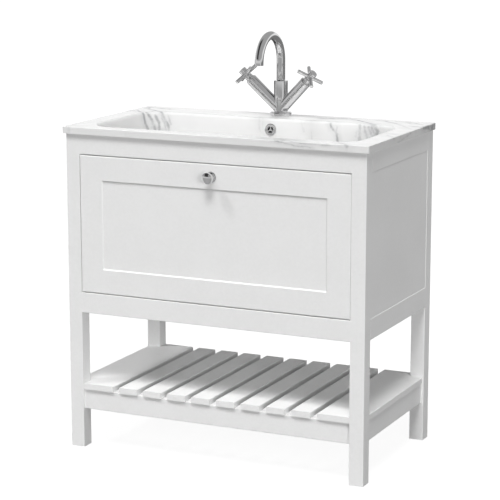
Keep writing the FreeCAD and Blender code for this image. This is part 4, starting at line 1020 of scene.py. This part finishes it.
def shades_below(tree, across, away):
    """Bands of shade all round the room, by heading."""
    turn = maths(tree, "ARCTAN2", away, across)
    share = maths(tree, "ADD", maths(tree, "DIVIDE", turn, FULL_TURN), 0.5)
    bands = add_node(tree, "ShaderNodeValToRGB", {"Fac": share})
    bands.color_ramp.interpolation = "EASE"
    stops = bands.color_ramp.elements
    for index, (position, shade) in enumerate(ROOM_BANDS):
        stop = stops[index] if index < 2 else stops.new(position)
        stop.position = position
        stop.color = (shade, shade, shade, 1)
    return bands.outputs["Color"]


def shades_above(tree, across, away, height):
    """Grey walls over a pale strip, with a dark patch in front and white behind."""
    dark_across = maths(tree, "MULTIPLY", spread(tree, across, DARK_RIGHT_END),
                        spread(tree, across, DARK_LEFT_END))
    dark = maths(tree, "MULTIPLY", spread(tree, height, DARK_START), dark_across)
    wall = blend_colours(tree, spread(tree, height, STRIP_TOP), ROOM_STRIP, ROOM_WALL)
    front = blend_colours(tree, dark, wall, ROOM_DARK)
    back = blend_colours(tree, spread(tree, height, BACK_WHITE_TOP), ROOM_WHITE, ROOM_WALL)
    return blend_colours(tree, spread(tree, away, FRONT_TO_BACK), front, back)


def set_world():
    """Even white light. Polished metal sees a room of pale, grey and dark parts instead."""
    world = bpy.data.worlds.new("studio")
    bpy.context.scene.world = world
    world.use_nodes = True
    tree = world.node_tree
    tree.nodes.clear()
    heading = add_node(tree, "ShaderNodeTexCoord").outputs["Generated"]
    across, away, height = add_node(tree, "ShaderNodeSeparateXYZ", {0: heading}).outputs
    room = blend_colours(tree, spread(tree, height, HORIZON), shades_below(tree, across, away),
                         shades_above(tree, across, away, height))
    seen_room = add_node(tree, "ShaderNodeBackground", {"Color": room, "Strength": 1.0})
    even = add_node(tree, "ShaderNodeBackground", {"Color": WHITE_LIGHT, "Strength": AMBIENT})
    white = add_node(tree, "ShaderNodeBackground", {"Color": WHITE_LIGHT, "Strength": 1.0})
    path = add_node(tree, "ShaderNodeLightPath")
    lit = add_node(tree, "ShaderNodeMixShader", {0: path.outputs["Is Glossy Ray"],
                                                 1: even.outputs[0], 2: seen_room.outputs[0]})
    seen = add_node(tree, "ShaderNodeMixShader", {0: path.outputs["Is Camera Ray"],
                                                  1: lit.outputs[0], 2: white.outputs[0]})
    add_node(tree, "ShaderNodeOutputWorld", {"Surface": seen.outputs[0]})


# Floor. The camera sees a glow with a faint shadow, and other light meets a plain grey.

FLOOR_HALF = 60.0
FLOOR_GREY = (0.22, 0.22, 0.22, 1)
FLOOR_ROUGHNESS = 0.9
FLOOR_SHADOW = (0.15, 0.15, 0.15, 1)
FLOOR_GLOW = 0.93


def set_floor():
    """A pale floor that the camera sees as white, with the unit's soft shadow on it."""
    mesh = bpy.data.meshes.new("floor")
    shape = bmesh.new()
    bmesh.ops.create_grid(shape, x_segments=1, y_segments=1, size=FLOOR_HALF)
    shape.to_mesh(mesh)
    shape.free()
    floor = bpy.data.objects.new("floor", mesh)
    bpy.context.scene.collection.objects.link(floor)
    finish, tree, shader = new_finish("pale_floor")
    set_inputs(shader, Base_Color=FLOOR_GREY, Roughness=FLOOR_ROUGHNESS)
    shadow = add_node(tree, "ShaderNodeBsdfDiffuse", {"Color": FLOOR_SHADOW})
    glow = add_node(tree, "ShaderNodeEmission", {"Color": WHITE_LIGHT, "Strength": FLOOR_GLOW})
    white = add_node(tree, "ShaderNodeAddShader", {0: shadow.outputs[0], 1: glow.outputs[0]})
    path = add_node(tree, "ShaderNodeLightPath")
    both = add_node(tree, "ShaderNodeMixShader", {0: path.outputs["Is Camera Ray"],
                                                  1: shader.outputs[0], 2: white.outputs[0]})
    tree.links.new(both.outputs[0], tree.nodes["Material Output"].inputs["Surface"])
    mesh.materials.append(finish)
    floor.visible_glossy = False


set_camera()
set_world()
set_floor()
for lamp_name, lamp in LAMPS.items():
    add_sun(lamp_name, *lamp)
bpy.context.scene.view_settings.view_transform = "Standard"
